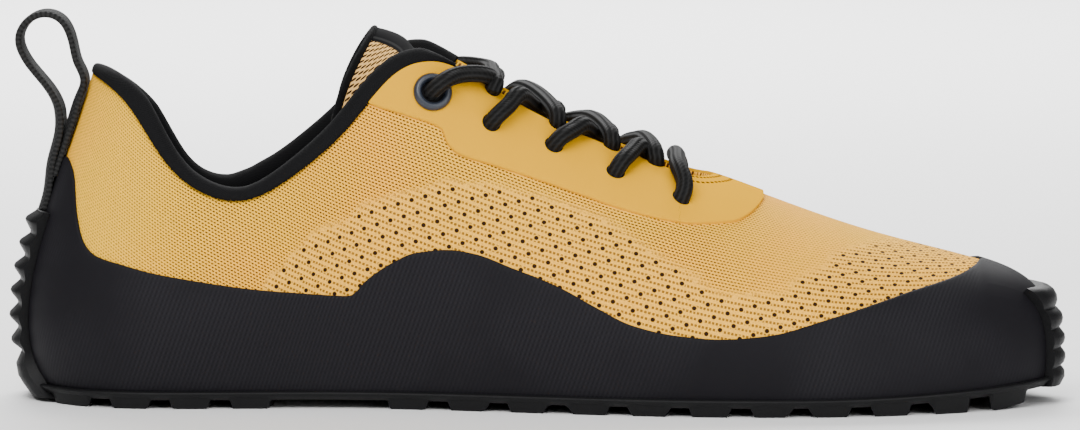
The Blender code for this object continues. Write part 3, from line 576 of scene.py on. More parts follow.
def mix(tree, factor, a, b):
    """Colour a times (1 - factor) plus colour b times factor."""
    made = node(tree, "ShaderNodeMix", data_type="RGBA")
    for socket, value in ((made.inputs["Factor"], factor), (made.inputs[6], a), (made.inputs[7], b)):
        if isinstance(value, bpy.types.NodeSocket):
            tree.links.new(value, socket)
        else:
            socket.default_value = value if not isinstance(value, tuple) else (*value[:3], 1)
    return made.outputs[2]


def relief(tree, shader, height, distance, strength=1.0):
    """Feeds a height, scaled by distance in metres, to the shader's normal."""
    made = node(tree, "ShaderNodeBump", {"Height": height, "Strength": strength, "Distance": distance})
    tree.links.new(made.outputs[0], shader.inputs["Normal"])


def ramp(tree, value, start, end):
    """(value - start) / (end - start), held between 0 and 1."""
    return node(tree, "ShaderNodeMapRange", {"Value": value, "From Min": start, "From Max": end}).outputs[0]


def cloth_place(tree):
    """The piece's own map, in metres."""
    return node(tree, "ShaderNodeUVMap", uv_map="cloth").outputs[0]


def stored(tree, name):
    """A number that the mesh keeps at each point."""
    return node(tree, "ShaderNodeAttribute", attribute_name=name).outputs["Fac"]


def waves(tree, value, length):
    """Cosine of value with a wave each length."""
    return sums(tree, "COSINE", sums(tree, "MULTIPLY", value, 2 * math.pi / length))


def paint(tree, shader, colour):
    """Feeds a colour to the shader."""
    tree.links.new(colour, shader.inputs["Base Color"])


# %% [markdown]
# ### Rows of stitch gaps
# Between its stitches a knit has small gaps in rows, and each row is shifted by half a step. One cosine
# wave across the rows and one along them are each cut to a soft mask, and their product leaves short
# dashes.

# %% Dashed rows
dash_group, gi, go = group(
    "dashed_rows",
    (("Across", "NodeSocketFloat", 0.0), ("Along", "NodeSocketFloat", 0.0), ("Row", "NodeSocketFloat", 0.001),
     ("Step", "NodeSocketFloat", 0.0008)),
    (("Mask", "NodeSocketFloat"),),
)
row_number = sums(dash_group, "DIVIDE", gi["Across"], gi["Row"])
shift = sums(dash_group, "MULTIPLY", sums(dash_group, "ROUND", row_number), 0.5)
step_number = sums(dash_group, "ADD", sums(dash_group, "DIVIDE", gi["Along"], gi["Step"]), shift)
line = ramp(dash_group, waves(dash_group, row_number, 1.0), 0.05, 0.65)
dash = ramp(dash_group, waves(dash_group, step_number, 1.0), -0.7, 0.15)
dash_group.links.new(sums(dash_group, "MULTIPLY", line, dash), go["Mask"])
print("group", dash_group.name)

# %% [markdown]
# ### Weave
# Plain cloth is warp over weft. A sine for each, multiplied, gives the small hills of their crossings.
# Turning the weft down with Ribs leaves the lines of the warp, as on twill.

# %% Weave
weave_group, gi, go = group(
    "weave",
    (("Place", "NodeSocketVector", None), ("Threads", "NodeSocketFloat", 1200.0),
     ("Lean", "NodeSocketFloat", 0.2), ("Ribs", "NodeSocketFloat", 0.0)),
    (("Height", "NodeSocketFloat"),),
)
xy = node(weave_group, "ShaderNodeSeparateXYZ", {0: gi["Place"]}).outputs
leant = sums(weave_group, "ADD", xy[0], sums(weave_group, "MULTIPLY", xy[1], gi["Lean"]))
threads = []
for way in (leant, xy[1]):
    turns = sums(weave_group, "MULTIPLY", sums(weave_group, "MULTIPLY", way, gi["Threads"]), 2 * math.pi)
    threads.append(sums(weave_group, "SINE", turns))
warp, weft = threads
weft_share = sums(weave_group, "SUBTRACT", 1.0, gi["Ribs"])
crossing = sums(weave_group, "ADD", gi["Ribs"], sums(weave_group, "MULTIPLY", weft, weft_share))
hills = sums(weave_group, "MULTIPLY", warp, crossing)
weave_group.links.new(sums(weave_group, "MULTIPLY_ADD", hills, 0.5, 0.5), go["Height"])
print("group", weave_group.name)

# %% [markdown]
# ### Mottle
# Dye and rubber are never quite even. A broad noise round 1 makes a colour lighter and darker, and a fine
# noise serves as grain. Both read the object's own place, so nothing slides when the camera moves.

# %% Mottle
mottle_group, gi, go = group(
    "mottle",
    (("Scale", "NodeSocketFloat", 40.0), ("Amount", "NodeSocketFloat", 0.1)),
    (("Value", "NodeSocketFloat"), ("Fine", "NodeSocketFloat")),
)
where = node(mottle_group, "ShaderNodeTexCoord").outputs["Object"]
GRAIN_SCALE = 2500.0
broad_noise = {"Vector": where, "Scale": gi["Scale"], "Detail": 4.0}
fine_noise = {"Vector": where, "Scale": GRAIN_SCALE, "Detail": 2.0}
noise = node(mottle_group, "ShaderNodeTexNoise", broad_noise).outputs[0]
fine = node(mottle_group, "ShaderNodeTexNoise", fine_noise).outputs[0]
centred = sums(mottle_group, "MULTIPLY", sums(mottle_group, "SUBTRACT", noise, 0.5), gi["Amount"])
mottle_group.links.new(sums(mottle_group, "ADD", centred, 1.0), go["Value"])
mottle_group.links.new(fine, go["Fine"])
print("group", mottle_group.name)


# %% [markdown]
# ### Knit
# The knit is mustard with slanting rows of small brown gaps between its stitches. Over the waist and the
# forefoot it is punched with round holes on a slanted lattice. The lattice is worked out in the material:
# the place is turned into lattice steps, rounded to the nearest hole, and the distance to that hole is
# compared with its radius. A curve of the zone's edge is read at the hole's centre, so every hole is
# whole.

# %% Punched holes
LATTICE_A = (0.00366, 0.00108)
LATTICE_B = (0.00160, -0.00344)
HOLE_RADIUS = 0.00060
start_rib, start_share = solve_inner(float(along(0.4184)), 0.6425 * HEIGHT)
LATTICE_START = cloth_map(start_rib, start_share)
determinant = LATTICE_A[0] * LATTICE_B[1] - LATTICE_A[1] * LATTICE_B[0]
TO_A = (LATTICE_B[1] / determinant, -LATTICE_B[0] / determinant, 0)
TO_B = (-LATTICE_A[1] / determinant, LATTICE_A[0] / determinant, 0)
SPAN_U = 0.34
SPAN_V = 0.12

punch_group, gi, go = group("punched", (("Place", "NodeSocketVector", None),),
                            (("Mask", "NodeSocketFloat"), ("Clear", "NodeSocketFloat")))
tree = punch_group
start_place = (float(LATTICE_START[0]), float(LATTICE_START[1]), 0)
from_start = {0: gi["Place"], 1: start_place}
shifted = node(tree, "ShaderNodeVectorMath", from_start, operation="SUBTRACT").outputs[0]
steps_a = node(tree, "ShaderNodeVectorMath", {0: shifted, 1: TO_A}, operation="DOT_PRODUCT").outputs["Value"]
steps_b = node(tree, "ShaderNodeVectorMath", {0: shifted, 1: TO_B}, operation="DOT_PRODUCT").outputs["Value"]
near_a = sums(tree, "ROUND", steps_a)
near_b = sums(tree, "ROUND", steps_b)
centre_u, centre_v = [
    sums(tree, "ADD", sums(tree, "MULTIPLY", near_a, a), sums(tree, "MULTIPLY", near_b, b))
    for a, b in zip(LATTICE_A, LATTICE_B)
]
centre = node(tree, "ShaderNodeCombineXYZ", {0: centre_u, 1: centre_v}).outputs[0]
far = node(tree, "ShaderNodeVectorMath", {0: shifted, 1: centre}, operation="DISTANCE").outputs["Value"]
disc = ramp(tree, far, HOLE_RADIUS * 1.15, HOLE_RADIUS * 0.85)
whole_u = sums(tree, "DIVIDE", sums(tree, "ADD", centre_u, float(LATTICE_START[0])), SPAN_U)
whole_v = sums(tree, "DIVIDE", sums(tree, "ADD", centre_v, float(LATTICE_START[1])), SPAN_V)
limit = node(tree, "ShaderNodeFloatCurve", {"Value": whole_u})
zone_ts = np.linspace(5.8, 18.2, 56)
zone_vs = edge_share(zone_ts, HOLE_EDGE)
zone_map = cloth_map(zone_ts, zone_vs)
curve = limit.mapping.curves[0]
curve.points[0].location = (0.0, 0.0)
curve.points[1].location = (1.0, 0.0)
for u, v in zone_map:
    curve.points.new(float(u) / SPAN_U, float(v) / SPAN_V)
curve.points.new(float(zone_map[0][0]) / SPAN_U - 0.01, 0.0)
curve.points.new(float(zone_map[-1][0]) / SPAN_U + 0.01, 0.0)
limit.mapping.update()
inside = sums(tree, "LESS_THAN", whole_v, limit.outputs[0])
tree.links.new(sums(tree, "MULTIPLY", disc, inside), go["Mask"])
tree.links.new(ramp(tree, far, 0.0008, 0.0011), go["Clear"])
print("lattice starts at", start_place)

# %% [markdown]
# ### Knit colour
# The yarn is dyed unevenly and looks lighter where the knit is open. The gaps between stitches are painted
# dark brown, which is painted shade in their hollows, and the holes are painted a darker brown still. Both are
# also lowered by a bump, so that light catches their rims.

# %% Knit
knit, tree, shader = finish("knit_yellow", (0.80, 0.42, 0.07), 0.85, Specular_IOR_Level=0.15)
field = {label: stored(tree, label) for label in ("dots", "open", "across", "along")}
rows = use(tree, dash_group, Across=field["across"], Along=field["along"], Row=0.00096, Step=0.00122)
wide_rows = use(tree, dash_group, Across=field["across"], Along=field["along"], Row=0.00172, Step=0.00122)
punched = use(tree, punch_group, Place=cloth_place(tree))
holes = punched["Mask"]
mottle = use(tree, mottle_group, Scale=26.0, Amount=0.16)
close_mask = sums(tree, "MULTIPLY", rows["Mask"], field["dots"])
open_mask = sums(tree, "MULTIPLY", sums(tree, "MULTIPLY", wide_rows["Mask"], field["open"]), punched["Clear"])
gaps = sums(tree, "MAXIMUM", close_mask, sums(tree, "MULTIPLY", open_mask, 0.8))
dyed = use(tree, mottle_group, Scale=13.0, Amount=1.0)["Value"]
warm = ramp(tree, dyed, 0.92, 1.12)
base = mix(tree, warm, (0.90, 0.49, 0.018), (0.94, 0.43, 0.022))
base = mix(tree, sums(tree, "MULTIPLY", field["open"], 0.7), base, (0.95, 0.48, 0.040))
# The stitch gaps are painted dark brown: painted shade in the hollows between the stitches.
base = mix(tree, gaps, base, (0.09, 0.024, 0.001))
base = mix(tree, holes, base, (0.020, 0.007, 0.002))
speckle = sums(tree, "MULTIPLY_ADD", mottle["Fine"], 0.7, sums(tree, "SUBTRACT", mottle["Value"], 0.35))
paint(tree, shader, node(tree, "ShaderNodeHueSaturation", {"Color": base, "Value": speckle}).outputs[0])
height = sums(tree, "SUBTRACT", 1.0, sums(tree, "MAXIMUM", gaps, holes))
height = sums(tree, "ADD", height, sums(tree, "MULTIPLY", mottle["Fine"], 0.5))
relief(tree, shader, height, 0.00022)

# %% [markdown]
# ### Lining
# Inside, the shoe has thin black cloth. The weave group alone is enough for it, since it is seen in
# shade.

# %% Lining
lining, tree, shader = finish("lining_black", (0.006, 0.006, 0.007), 0.9, Specular_IOR_Level=0.1)
height = use(tree, weave_group, Place=cloth_place(tree), Threads=900.0)["Height"]
relief(tree, shader, height, 0.00015)
# The threads' tops are painted a little lighter and the hollows darker: painted light and shade on the weave.
paint(tree, shader, mix(tree, height, (0.003, 0.003, 0.0035), (0.010, 0.010, 0.011)))

# %% [markdown]
# ### Yellow film
# The eyestay's film is matt and smooth. In front of the throat it has two curved rows of small stitches.
# The mesh stores each point's distance from the arcs' centre and the way round, and two rings and a wave
# draw them.

# %% Yellow film
FILM_COLOUR = (0.74, 0.36, 0.0)
ARC_RADII = (0.0137, 0.0166)
STITCH = 0.0014
film, tree, shader = finish("film_yellow", FILM_COLOUR, 0.65, Specular_IOR_Level=0.0)
mottle = use(tree, mottle_group, Scale=30.0, Amount=0.10)
uneven = {"Color": (*FILM_COLOUR, 1), "Value": mottle["Value"]}
toned = node(tree, "ShaderNodeHueSaturation", uneven).outputs[0]
front = stored(tree, "front")
arcs = []
for radius in ARC_RADII:
    away = sums(tree, "ABSOLUTE", sums(tree, "SUBTRACT", front, radius))
    arcs.append(ramp(tree, away, 0.0005, 0.0003))
dashes = ramp(tree, waves(tree, stored(tree, "turn"), STITCH), -0.7, -0.2)
sewn = sums(tree, "MULTIPLY", sums(tree, "MAXIMUM", arcs[0], arcs[1]), dashes)
paint(tree, shader, mix(tree, sewn, toned, (0.10, 0.03, 0.002)))
relief(tree, shader, mottle["Fine"], 0.00004)

# %% [markdown]
# ### Rand film
# The rand is a matt black film with leaning ribs that show faintly, and only in places, where light glances
# off them. The ribs come from the weave group, and a broad noise lets them come and go. Where they show, their
# tops are painted lighter, which is a painted sheen, and the same height also feeds the bump.

# %% Rand film
rand_look, tree, shader = finish("rand_charcoal", (0.008, 0.0075, 0.0095), 0.62, Specular_IOR_Level=0.08)
woven = use(tree, weave_group, Place=cloth_place(tree), Threads=820.0, Lean=-0.36, Ribs=0.65)["Height"]
where = node(tree, "ShaderNodeTexCoord").outputs["Object"]
broad = node(tree, "ShaderNodeTexNoise", {"Vector": where, "Scale": 22.0}).outputs[0]
patches = ramp(tree, broad, 0.40, 0.58)
shown = sums(tree, "MULTIPLY", woven, patches)
# The shown ribs are painted lighter than the film: a painted sheen of light glancing off them.
paint(tree, shader, mix(tree, shown, (0.0075, 0.007, 0.0088), (0.0145, 0.0138, 0.0165)))
relief(tree, shader, shown, 0.00009)
print("finishes", [look.name for look in (knit, lining, film, rand_look)])

# %% [markdown]
# ### Rubber
# Moulded rubber is nearly smooth, with a faint grain and soft highlights on its edges.

# %% Rubber
RUBBER_COLOUR = (0.004, 0.004, 0.0045)
rubber, tree, shader = finish("rubber_black", RUBBER_COLOUR, 0.5, Specular_IOR_Level=0.16)
mottle = use(tree, mottle_group, Scale=90.0, Amount=0.5)
dusty = {"Color": (*RUBBER_COLOUR, 1), "Value": mottle["Value"]}
paint(tree, shader, node(tree, "ShaderNodeHueSaturation", dusty).outputs[0])
relief(tree, shader, mottle["Fine"], 0.00008)

# %% [markdown]
# ### Padding and webbing
# The padded edge has a fine even cloth, and the pull loop has coarse tape. Both get their threads from
# the cloth map, so that the threads bend with the piece.

# %% Padding and webbing
padding, tree, shader = finish("padding_black", (0.0045, 0.0045, 0.005), 0.85, Specular_IOR_Level=0.12)
mottle = use(tree, mottle_group, Scale=120.0, Amount=0.6)
threads = use(tree, weave_group, Place=cloth_place(tree), Threads=1300.0)["Height"]
relief(tree, shader, sums(tree, "ADD", threads, mottle["Fine"]), 0.00010)

webbing, tree, shader = finish("webbing_black", (0.010, 0.010, 0.010), 0.8, Specular_IOR_Level=0.2)
threads = use(tree, weave_group, Place=cloth_place(tree), Threads=800.0, Lean=0.0)["Height"]
relief(tree, shader, threads, 0.00025)
# The tape's raised threads are painted lighter and its hollows darker: painted light and shade on the weave.
paint(tree, shader, mix(tree, threads, (0.004, 0.004, 0.004), (0.020, 0.020, 0.020)))

# %% [markdown]
# ### Braid
# The lace is a round braid with long ribs. One sine goes round the cord and gives the ribs, and a fainter
# one that also runs along it gives the slant of the strands. The ribs' tops are painted lighter and the
# hollows between them darker: painted highlights along the ribs.

# %% Braid
CORD_RIBS = 9
CORD_TWILL = 900
cord_look, tree, shader = finish("cord_black", (0.006, 0.006, 0.006), 0.75, Specular_IOR_Level=0.15)
xy = node(tree, "ShaderNodeSeparateXYZ", {0: cloth_place(tree)}).outputs
round_turns = sums(tree, "MULTIPLY", xy[1], 2 * math.pi * CORD_RIBS)
ribs = sums(tree, "SINE", round_turns)
twill = sums(tree, "SINE", sums(tree, "MULTIPLY_ADD", xy[0], 2 * math.pi * CORD_TWILL, round_turns))
braid = sums(tree, "MULTIPLY_ADD", sums(tree, "ADD", ribs, sums(tree, "MULTIPLY", twill, 0.22)), 0.40, 0.5)
relief(tree, shader, braid, 0.00045)
# Rib tops painted grey and hollows near black: painted highlights and shade on the braid.
paint(tree, shader, mix(tree, braid, (0.001, 0.001, 0.001), (0.014, 0.014, 0.014)))

# %% [markdown]
# ### Tongue mesh
# The tongue's cloth has rows of diamond holes, and its upper end carries a smooth black panel with a thin
# grey line painted on it, a painted highlight of its gloss. Two crossed waves added together are high only
# where both are, which draws the holes.

# %% Tongue mesh
MESH_STEP = 0.0020
mesh_look, tree, shader = finish("tongue_mesh_tan", (0.60, 0.30, 0.08), 0.9, Specular_IOR_Level=0.08)
xy = node(tree, "ShaderNodeSeparateXYZ", {0: cloth_place(tree)}).outputs
rising = waves(tree, sums(tree, "ADD", xy[0], xy[1]), MESH_STEP)
falling = waves(tree, sums(tree, "SUBTRACT", xy[0], xy[1]), MESH_STEP)
mesh_gap = ramp(tree, sums(tree, "ADD", rising, falling), 0.15, 0.7)
panel = stored(tree, "panel")
inside_panel = ramp(tree, panel, 0.45, 0.55)
# A thin grey line where the panel field crosses 0.8, painted on the black panel: a painted highlight.
panel_highlight_line = ramp(tree, sums(tree, "ABSOLUTE", sums(tree, "SUBTRACT", panel, 0.8)), 0.10, 0.05)
meshed = mix(tree, mesh_gap, (0.80, 0.47, 0.15), (0.020, 0.008, 0.003))
dark = mix(tree, panel_highlight_line, (0.0025, 0.0025, 0.003), (0.02, 0.02, 0.02))
paint(tree, shader, mix(tree, inside_panel, meshed, dark))
open_gap = sums(tree, "MULTIPLY", mesh_gap, sums(tree, "SUBTRACT", 1.0, inside_panel))
relief(tree, shader, sums(tree, "SUBTRACT", 1.0, open_gap), 0.0003)

# %% [markdown]
# ### Painted metal and foam
# The eyelets are painted and a little glossy. The insole is soft dull foam, and both only need a fine
# grain.

# %% Painted metal and foam
ring_look, tree, shader = finish("painted_slate", (0.016, 0.021, 0.032), 0.38, Specular_IOR_Level=0.5)
mottle = use(tree, mottle_group, Scale=200.0, Amount=0.3)
relief(tree, shader, mottle["Fine"], 0.00002)

foam, tree, shader = finish("insole_black", (0.010, 0.010, 0.011), 0.9, Specular_IOR_Level=0.1)
mottle = use(tree, mottle_group, Scale=60.0, Amount=0.4)
relief(tree, shader, mottle["Fine"], 0.00012)
print("finishes", [look.name for look in (rubber, padding, webbing, cord_look, mesh_look, ring_look, foam)])

# %% [markdown]
# ## Upper
# The upper is one shell of knit. Its outer face is the last itself; Solidify gives it the wall and the
# black lining inside. Smooth fields on the points say where the rows of gaps are strong and where the
# knit is open.

# %% Knit shell
ts = np.concatenate([np.linspace(0, 15, 121), np.linspace(15, LAST_RIB, 61)[1:]])
ts = np.concatenate([-ts[:0:-1], ts])
tops = top_share(ts)
vs = tops[:, None] * np.linspace(0, 1, 48)[None, :]
wide = np.repeat(ts[:, None], vs.shape[1], 1)
points = skin(wide, vs)
x, z = points[..., 0], points[..., 2]
share = (x + HEEL_TO_ORIGIN) / LENGTH
zone = np.clip((edge_curve(HOLE_EDGE, x) + 0.0012 - z) / 0.0014 + 0.5, 0, 1)
toe_fade = np.clip((share - 0.66) / 0.10, 0, 1)
heel_fade = np.clip((0.16 - share) / 0.12, 0, 1)
rows_field = (1 - zone) * (1.0 - 0.5 * toe_fade) * (1 - 0.65 * heel_fade)
cloth_uv = cloth_map(wide, vs)
slope_share = np.array([0.00, 0.10, 0.20, 0.32, 0.50, 0.62, 0.74, 0.86, 1.00])
slope = np.array([0.95, 0.85, 0.60, 0.42, 0.33, 0.26, 0.12, 0.00, 0.00])
fine_u = np.linspace(0, SPAN_U, 400)
fine_slope = np.interp(fine_u / float(girth[-1]), slope_share, slope)
drop = np.concatenate([[0.0], np.cumsum((fine_slope[1:] + fine_slope[:-1]) / 2 * np.diff(fine_u))])
across = cloth_uv[..., 1] + np.interp(cloth_uv[..., 0], fine_u, drop)
lean = np.interp(cloth_uv[..., 0], fine_u, fine_slope)
along_row = (cloth_uv[..., 0] - lean * cloth_uv[..., 1]) / np.sqrt(1 + lean**2)
fields = {"dots": rows_field, "open": zone, "across": across, "along": along_row}
upper = piece("knit_upper", [(points, cloth_uv, fields)], [knit, lining], node="upper",
              closed=False, smooth=180)
wall = upper.modifiers.new("wall", "SOLIDIFY")
wall.thickness = WALL
wall.offset = -1
wall.material_offset = 1


# %% [markdown]
# ## Films bonded to the knit
# The rand and the eyestay are thin films over the knit. Each is a closed sheet between an outer face a
# little over the last and an inner face just under it. Near a free edge the outer face rounds down.

# %% Bonded layers
RAND_LIFT = 0.0008
FILM_OUT = 0.0009
INNER_SINK = 0.0005


def bonded(ts, low, high, lift, rows, round_low, round_high):
    """Outer rows at skin + normal times lift times a rounding near free edges, then back down inside.

    The rows at an edge stand at fixed distances from it, and the others share what is left evenly.
    """
    point, _, _ = skin_frame(ts, low)
    span = np.linalg.norm(skin(ts, high) - point, axis=-1) + 1e-9
    edge = np.array([0.0, 0.00008, 0.00025, 0.0008])
    rise = np.array([0.10, 0.60, 0.90, 1.0])
    squeeze = np.minimum(1.0, span / 0.004)[:, None]
    near = edge[None, :] * squeeze / span[:, None]
    middle = near[:, -1:] + (1 - 2 * near[:, -1:]) * np.linspace(0, 1, rows)[None, 1:-1]
    share = np.concatenate([near, middle, 1 - near[:, ::-1]], axis=1)
    heights = np.ones_like(share)
    heights[:, :4] = 1 - (1 - rise)[None, :] * round_low[:, None]
    heights[:, -4:] = 1 - (1 - rise[::-1])[None, :] * round_high[:, None]
    vs = low[:, None] + (high - low)[:, None] * share
    wide = np.repeat(ts[:, None], vs.shape[1], 1)
    point, normal, _ = skin_frame(wide, vs)
    outer = point + normal * lift * heights[..., None]
    inner = point - normal * INNER_SINK
    points = np.concatenate([outer, inner[:, ::-1], outer[:, :1]], axis=1)
    uv = cloth_map(wide, vs)
    return points, np.concatenate([uv, uv[:, ::-1], uv[:, :1]], axis=1)


high = edge_share(ts, RAND_EDGE)
free = np.clip((0.9995 - high) / 0.004, 0, 1)
points, uv = bonded(ts, np.zeros_like(ts), high, RAND_LIFT, 30, np.zeros_like(ts), free)
piece("rand_sheet", [(points, uv, None)], [rand_look], node="rand")

# %% [markdown]
# ### Eyestay
# The eyestay is cut from the same surface, between its drawn lower edge and the throat. Ribs on which the
# film would have no height are dropped. Two numbers are stored for the stitched arcs in front of the
# throat.

# %% Eyestay
stay_ts = np.linspace(7.3, 15.2, 170)
film_low = edge_share(stay_ts, EYESTAY_EDGE)
stay_top = top_share(stay_ts)
kept = film_low < stay_top - 1e-3
stay_ts, film_low, stay_top = stay_ts[kept], film_low[kept], stay_top[kept]
free = np.clip((14.05 - stay_ts) / 0.05, 0, 1)
grids = []
for side in (1, -1):
    signed = stay_ts * side
    points, uv = bonded(signed, film_low, stay_top, FILM_OUT, 60, np.ones_like(signed), free)
    ahead = points[..., 0] - float(along(THROAT_FRONT - THROAT_ROUND))
    aside = points[..., 1] - ridge_y(points[..., 0])
    front = np.where(ahead > 0.002, np.hypot(ahead, aside), 0.0)
    grids.append((points, uv, {"front": front, "turn": np.arctan2(aside, ahead) * 0.015}))
piece("eyestay_film", grids, [film], node="eyestay")

# %% [markdown]
# ## Collar
# The collar's edge is a soft roll. A section is carried along the top of the upper, and corner cutting
# turns its few points into a round form. A simulated pad would need 4 mm voxels, which are too coarse for
# it.

# %% Padded collar
def cut_corners(section, rounds):
    """Each round puts points at a quarter and three quarters of every side of the closed section."""
    for _ in range(rounds):
        after = np.roll(section, -1, axis=1)
        section = np.stack([0.75 * section + 0.25 * after, 0.25 * section + 0.75 * after], axis=2)
        section = section.reshape(section.shape[0], -1, 3)
    return section


BINDING_LAST = 9.75
BINDING_OUT = 0.0012
BINDING_IN = 0.0046
BINDING_TOP = 0.0034
BINDING_DEEP = 0.0085
collar_ts = np.linspace(-BINDING_LAST, BINDING_LAST, 181)
top = np.ones_like(collar_ts)
rib_length = np.linalg.norm(skin(collar_ts, top) - skin(collar_ts, top - 0.1), axis=-1) / 0.1
frames = (skin_frame(collar_ts, top), skin_frame(collar_ts, 1 - BINDING_DEEP / rib_length))
thin = np.clip(0.40 + (BINDING_LAST - np.abs(collar_ts)) / 1.4, 0, 1)[:, None]
# How much higher than BINDING_TOP the roll stands at a rib: rib, times
WIDER = ((0.0, 0.6), (0.8, 0.95), (2.0, 1.3), (3.5, 1.0), (5.0, 1.0), (7.5, 1.35), (9.0, 1.2), (9.6, 1.0))
wider = np.interp(np.abs(collar_ts), *np.transpose(WIDER))[:, None]
flush = np.interp(np.abs(collar_ts), (0.0, 1.0), (0.3, 1.0))[:, None]
run_way = np.gradient(skin(collar_ts, top), axis=0)
run_way /= np.linalg.norm(run_way, axis=1, keepdims=True)
GAP = 0.0003
BELOW_EDGE = -0.0004
notch = WALL + GAP
# The section's corners: frame (0 at the edge, 1 lower down), way out along the normal, way up
section = (
    (0, BINDING_OUT, BELOW_EDGE), (0, BINDING_OUT + 0.0003, 0.45 * BINDING_TOP),
    (0, 0.3 * BINDING_OUT, 0.95 * BINDING_TOP), (0, -0.3 * BINDING_IN, 1.10 * BINDING_TOP),
    (0, -0.8 * BINDING_IN, 0.85 * BINDING_TOP), (0, -BINDING_IN, 0.2 * BINDING_TOP),
    (1, -BINDING_IN, 0.4 * BINDING_DEEP), (1, -0.75 * BINDING_IN, 0.0), (1, -notch, 0.0), (0, -notch, GAP),
    (0, 0.2 * BINDING_OUT, BELOW_EDGE),
)
rings = []
for place, out, rise in section:
    point, normal, up = frames[place]
    up = up - run_way * (up * run_way).sum(axis=1, keepdims=True)
    up = up / np.linalg.norm(up, axis=1, keepdims=True)
    shift = out if out >= -notch else -notch + (out + notch) * thin
    shift = shift * flush if out > 0 else shift
    rings.append(point + normal * shift + up * rise * thin * (wider if rise > 0.001 else 1.0))
rings = cut_corners(np.stack(rings, axis=1), 2)
rings = np.concatenate([rings, rings[:, :1]], axis=1)
caps = np.repeat(rings.mean(axis=1, keepdims=True), rings.shape[1], axis=1)
rings = np.concatenate([caps[:1], rings, caps[-1:]])
girth_way = np.concatenate([[0.0], np.cumsum(np.linalg.norm(np.diff(rings[:, 0], axis=0), axis=1))])
round_way = np.linspace(0, 0.030, rings.shape[1])
uv = np.stack(np.broadcast_arrays(girth_way[:, None], round_way[None, :]), -1)
collar = piece("collar_roll", [(rings, uv, None)], [padding], node="collar_binding")

# %% [markdown]
# ## Tongue
# The tongue is a sheet that bows up between the two sides of the throat and sticks out at the top. Its
# middle is an arch with its ends on the flaps' undersides. A bound black edge runs across its top end.

# %% Tongue sheet
TONGUE_TOP = (
    (6.7, 1.084), (7.8, 1.055), (8.8, 0.998), (9.6, 0.940), (10.3, 0.888), (11.0, 0.822), (12.0, 0.726),
    (13.0, 0.655), (14.0, 0.612), (14.8, 0.570),
)
TONGUE_WING = 0.70
TONGUE_GAP = 0.0013
TONGUE_LEAN = 0.35
TONGUE_FULL = 0.24
TONGUE = 0.0028


def tongue_face(count, wing_count, arch_count):
    """Rows across the tongue's outer face: up one wing, over a cubic arch, down the other wing."""
    ts = np.linspace(TONGUE_TOP[-1][0], TONGUE_TOP[0][0], count)
    inward = TONGUE_GAP + WALL + (BINDING_IN - WALL) * np.clip(BINDING_LAST + 1.0 - ts, 0, 1)
    top = top_share(ts)
    vs = TONGUE_WING + (top - TONGUE_WING) * np.linspace(0, 1, wing_count)[:, None]
    wings = []
    for side in (1, -1):
        point, normal, _ = skin_frame(np.broadcast_to(ts * side, vs.shape), vs)
        wings.append(point - normal * inward[None, :, None])
    edge_in, edge_out = wings[0][-1], wings[1][-1]
    width = np.abs(edge_in[:, 1] - edge_out[:, 1])
    middle = HEIGHT * steady([t for t, _ in TONGUE_TOP], [h for _, h in TONGUE_TOP], ts)
    rise = (middle - (edge_in + edge_out)[:, 2] / 2) / 0.75 * np.clip(width / 0.012, 0, 1)
    handle = np.stack([0 * rise, TONGUE_FULL * width, rise], -1)
    lean = np.stack([0.75 * TONGUE_LEAN * rise, 0 * rise, 0 * rise], -1)
    b = np.linspace(0, 1, arch_count)[:, None, None]
    a = 1 - b
    arch = a**3 * edge_in + 3 * a * a * b * (edge_in + handle)
    arch = arch + 3 * a * b * b * (edge_out + handle * np.array([1, -1, 1])) + b**3 * edge_out
    arch = arch + lean * (4 * a * b) ** 2
    return np.concatenate([wings[0][:-1], arch, wings[1][:-1][::-1]]).transpose(1, 0, 2)


rows = tongue_face(70, 12, 40)
run = np.concatenate([[0.0], np.cumsum(np.linalg.norm(np.diff(rows[:, 31], axis=0), axis=1))])
steps = np.linalg.norm(np.diff(rows, axis=1), axis=2)
over = np.concatenate([np.zeros((len(rows), 1)), np.cumsum(steps, axis=1)], axis=1)
uv = np.stack([np.repeat(run[:, None], rows.shape[1], 1), over], -1)
ridge = rows[..., 2].max(axis=1, keepdims=True)
panel_drop = (0.0030 + 0.0040 * np.clip((run[-1] - run - 0.018) / 0.010, 0, 1))[:, None]
PANEL_RUN = 0.046
panel_start = np.clip((run - run[-1] + PANEL_RUN) / 0.004, 0, 1)[:, None]
panel = np.clip(1.5 - (ridge - rows[..., 2]) / panel_drop, 0, 1.5) * panel_start
end_panel = np.clip(0.9 - (run[-1] - run) / 0.0018, 0, 0.9)[:, None]
panel = np.maximum(panel, np.broadcast_to(end_panel, panel.shape))
tongue = piece("tongue_sheet", [(rows, uv, {"panel": panel})], [mesh_look, lining], node="tongue",
               closed=False, flip=True, smooth=180)
pad = tongue.modifiers.new("pad", "SOLIDIFY")
pad.thickness = TONGUE
pad.offset = -1
pad.material_offset = 1
pad.material_offset_rim = 1

# %% [markdown]
# ### Bound edge of the tongue
# A folded strip is sewn over the tongue's raw edge. A flattened tube along the sheet's last row stands
# for it.

# %% Bound edge of the tongue
top_edge = rows[-1, 10:-10]
inner_drop = np.array([0.0, 0.0, -TONGUE / 2])
path = smooth_path(top_edge[::3] + inner_drop, 120)
points, uv = tube(path, 0.0012, 0.0018, 14)
piece("tongue_binding", [(points, uv, None)], [padding])

# %% [markdown]
# ## Lace
# The lace is one round braid. On each side it comes up out of a hole, runs over the edge of the flap
# towards the toe and across the tongue, then dives under the other flap and up through its next hole.
# Points on the route are places on the film plus a lift along its normal, so the cord follows the shoe.

# %% Route of the lace
HOLES = ((9.24, 0.886), (10.48, 0.852), (11.30, 0.870), (12.17, 0.832), (13.44, 0.744))
LACE_RADIUS = 0.00235
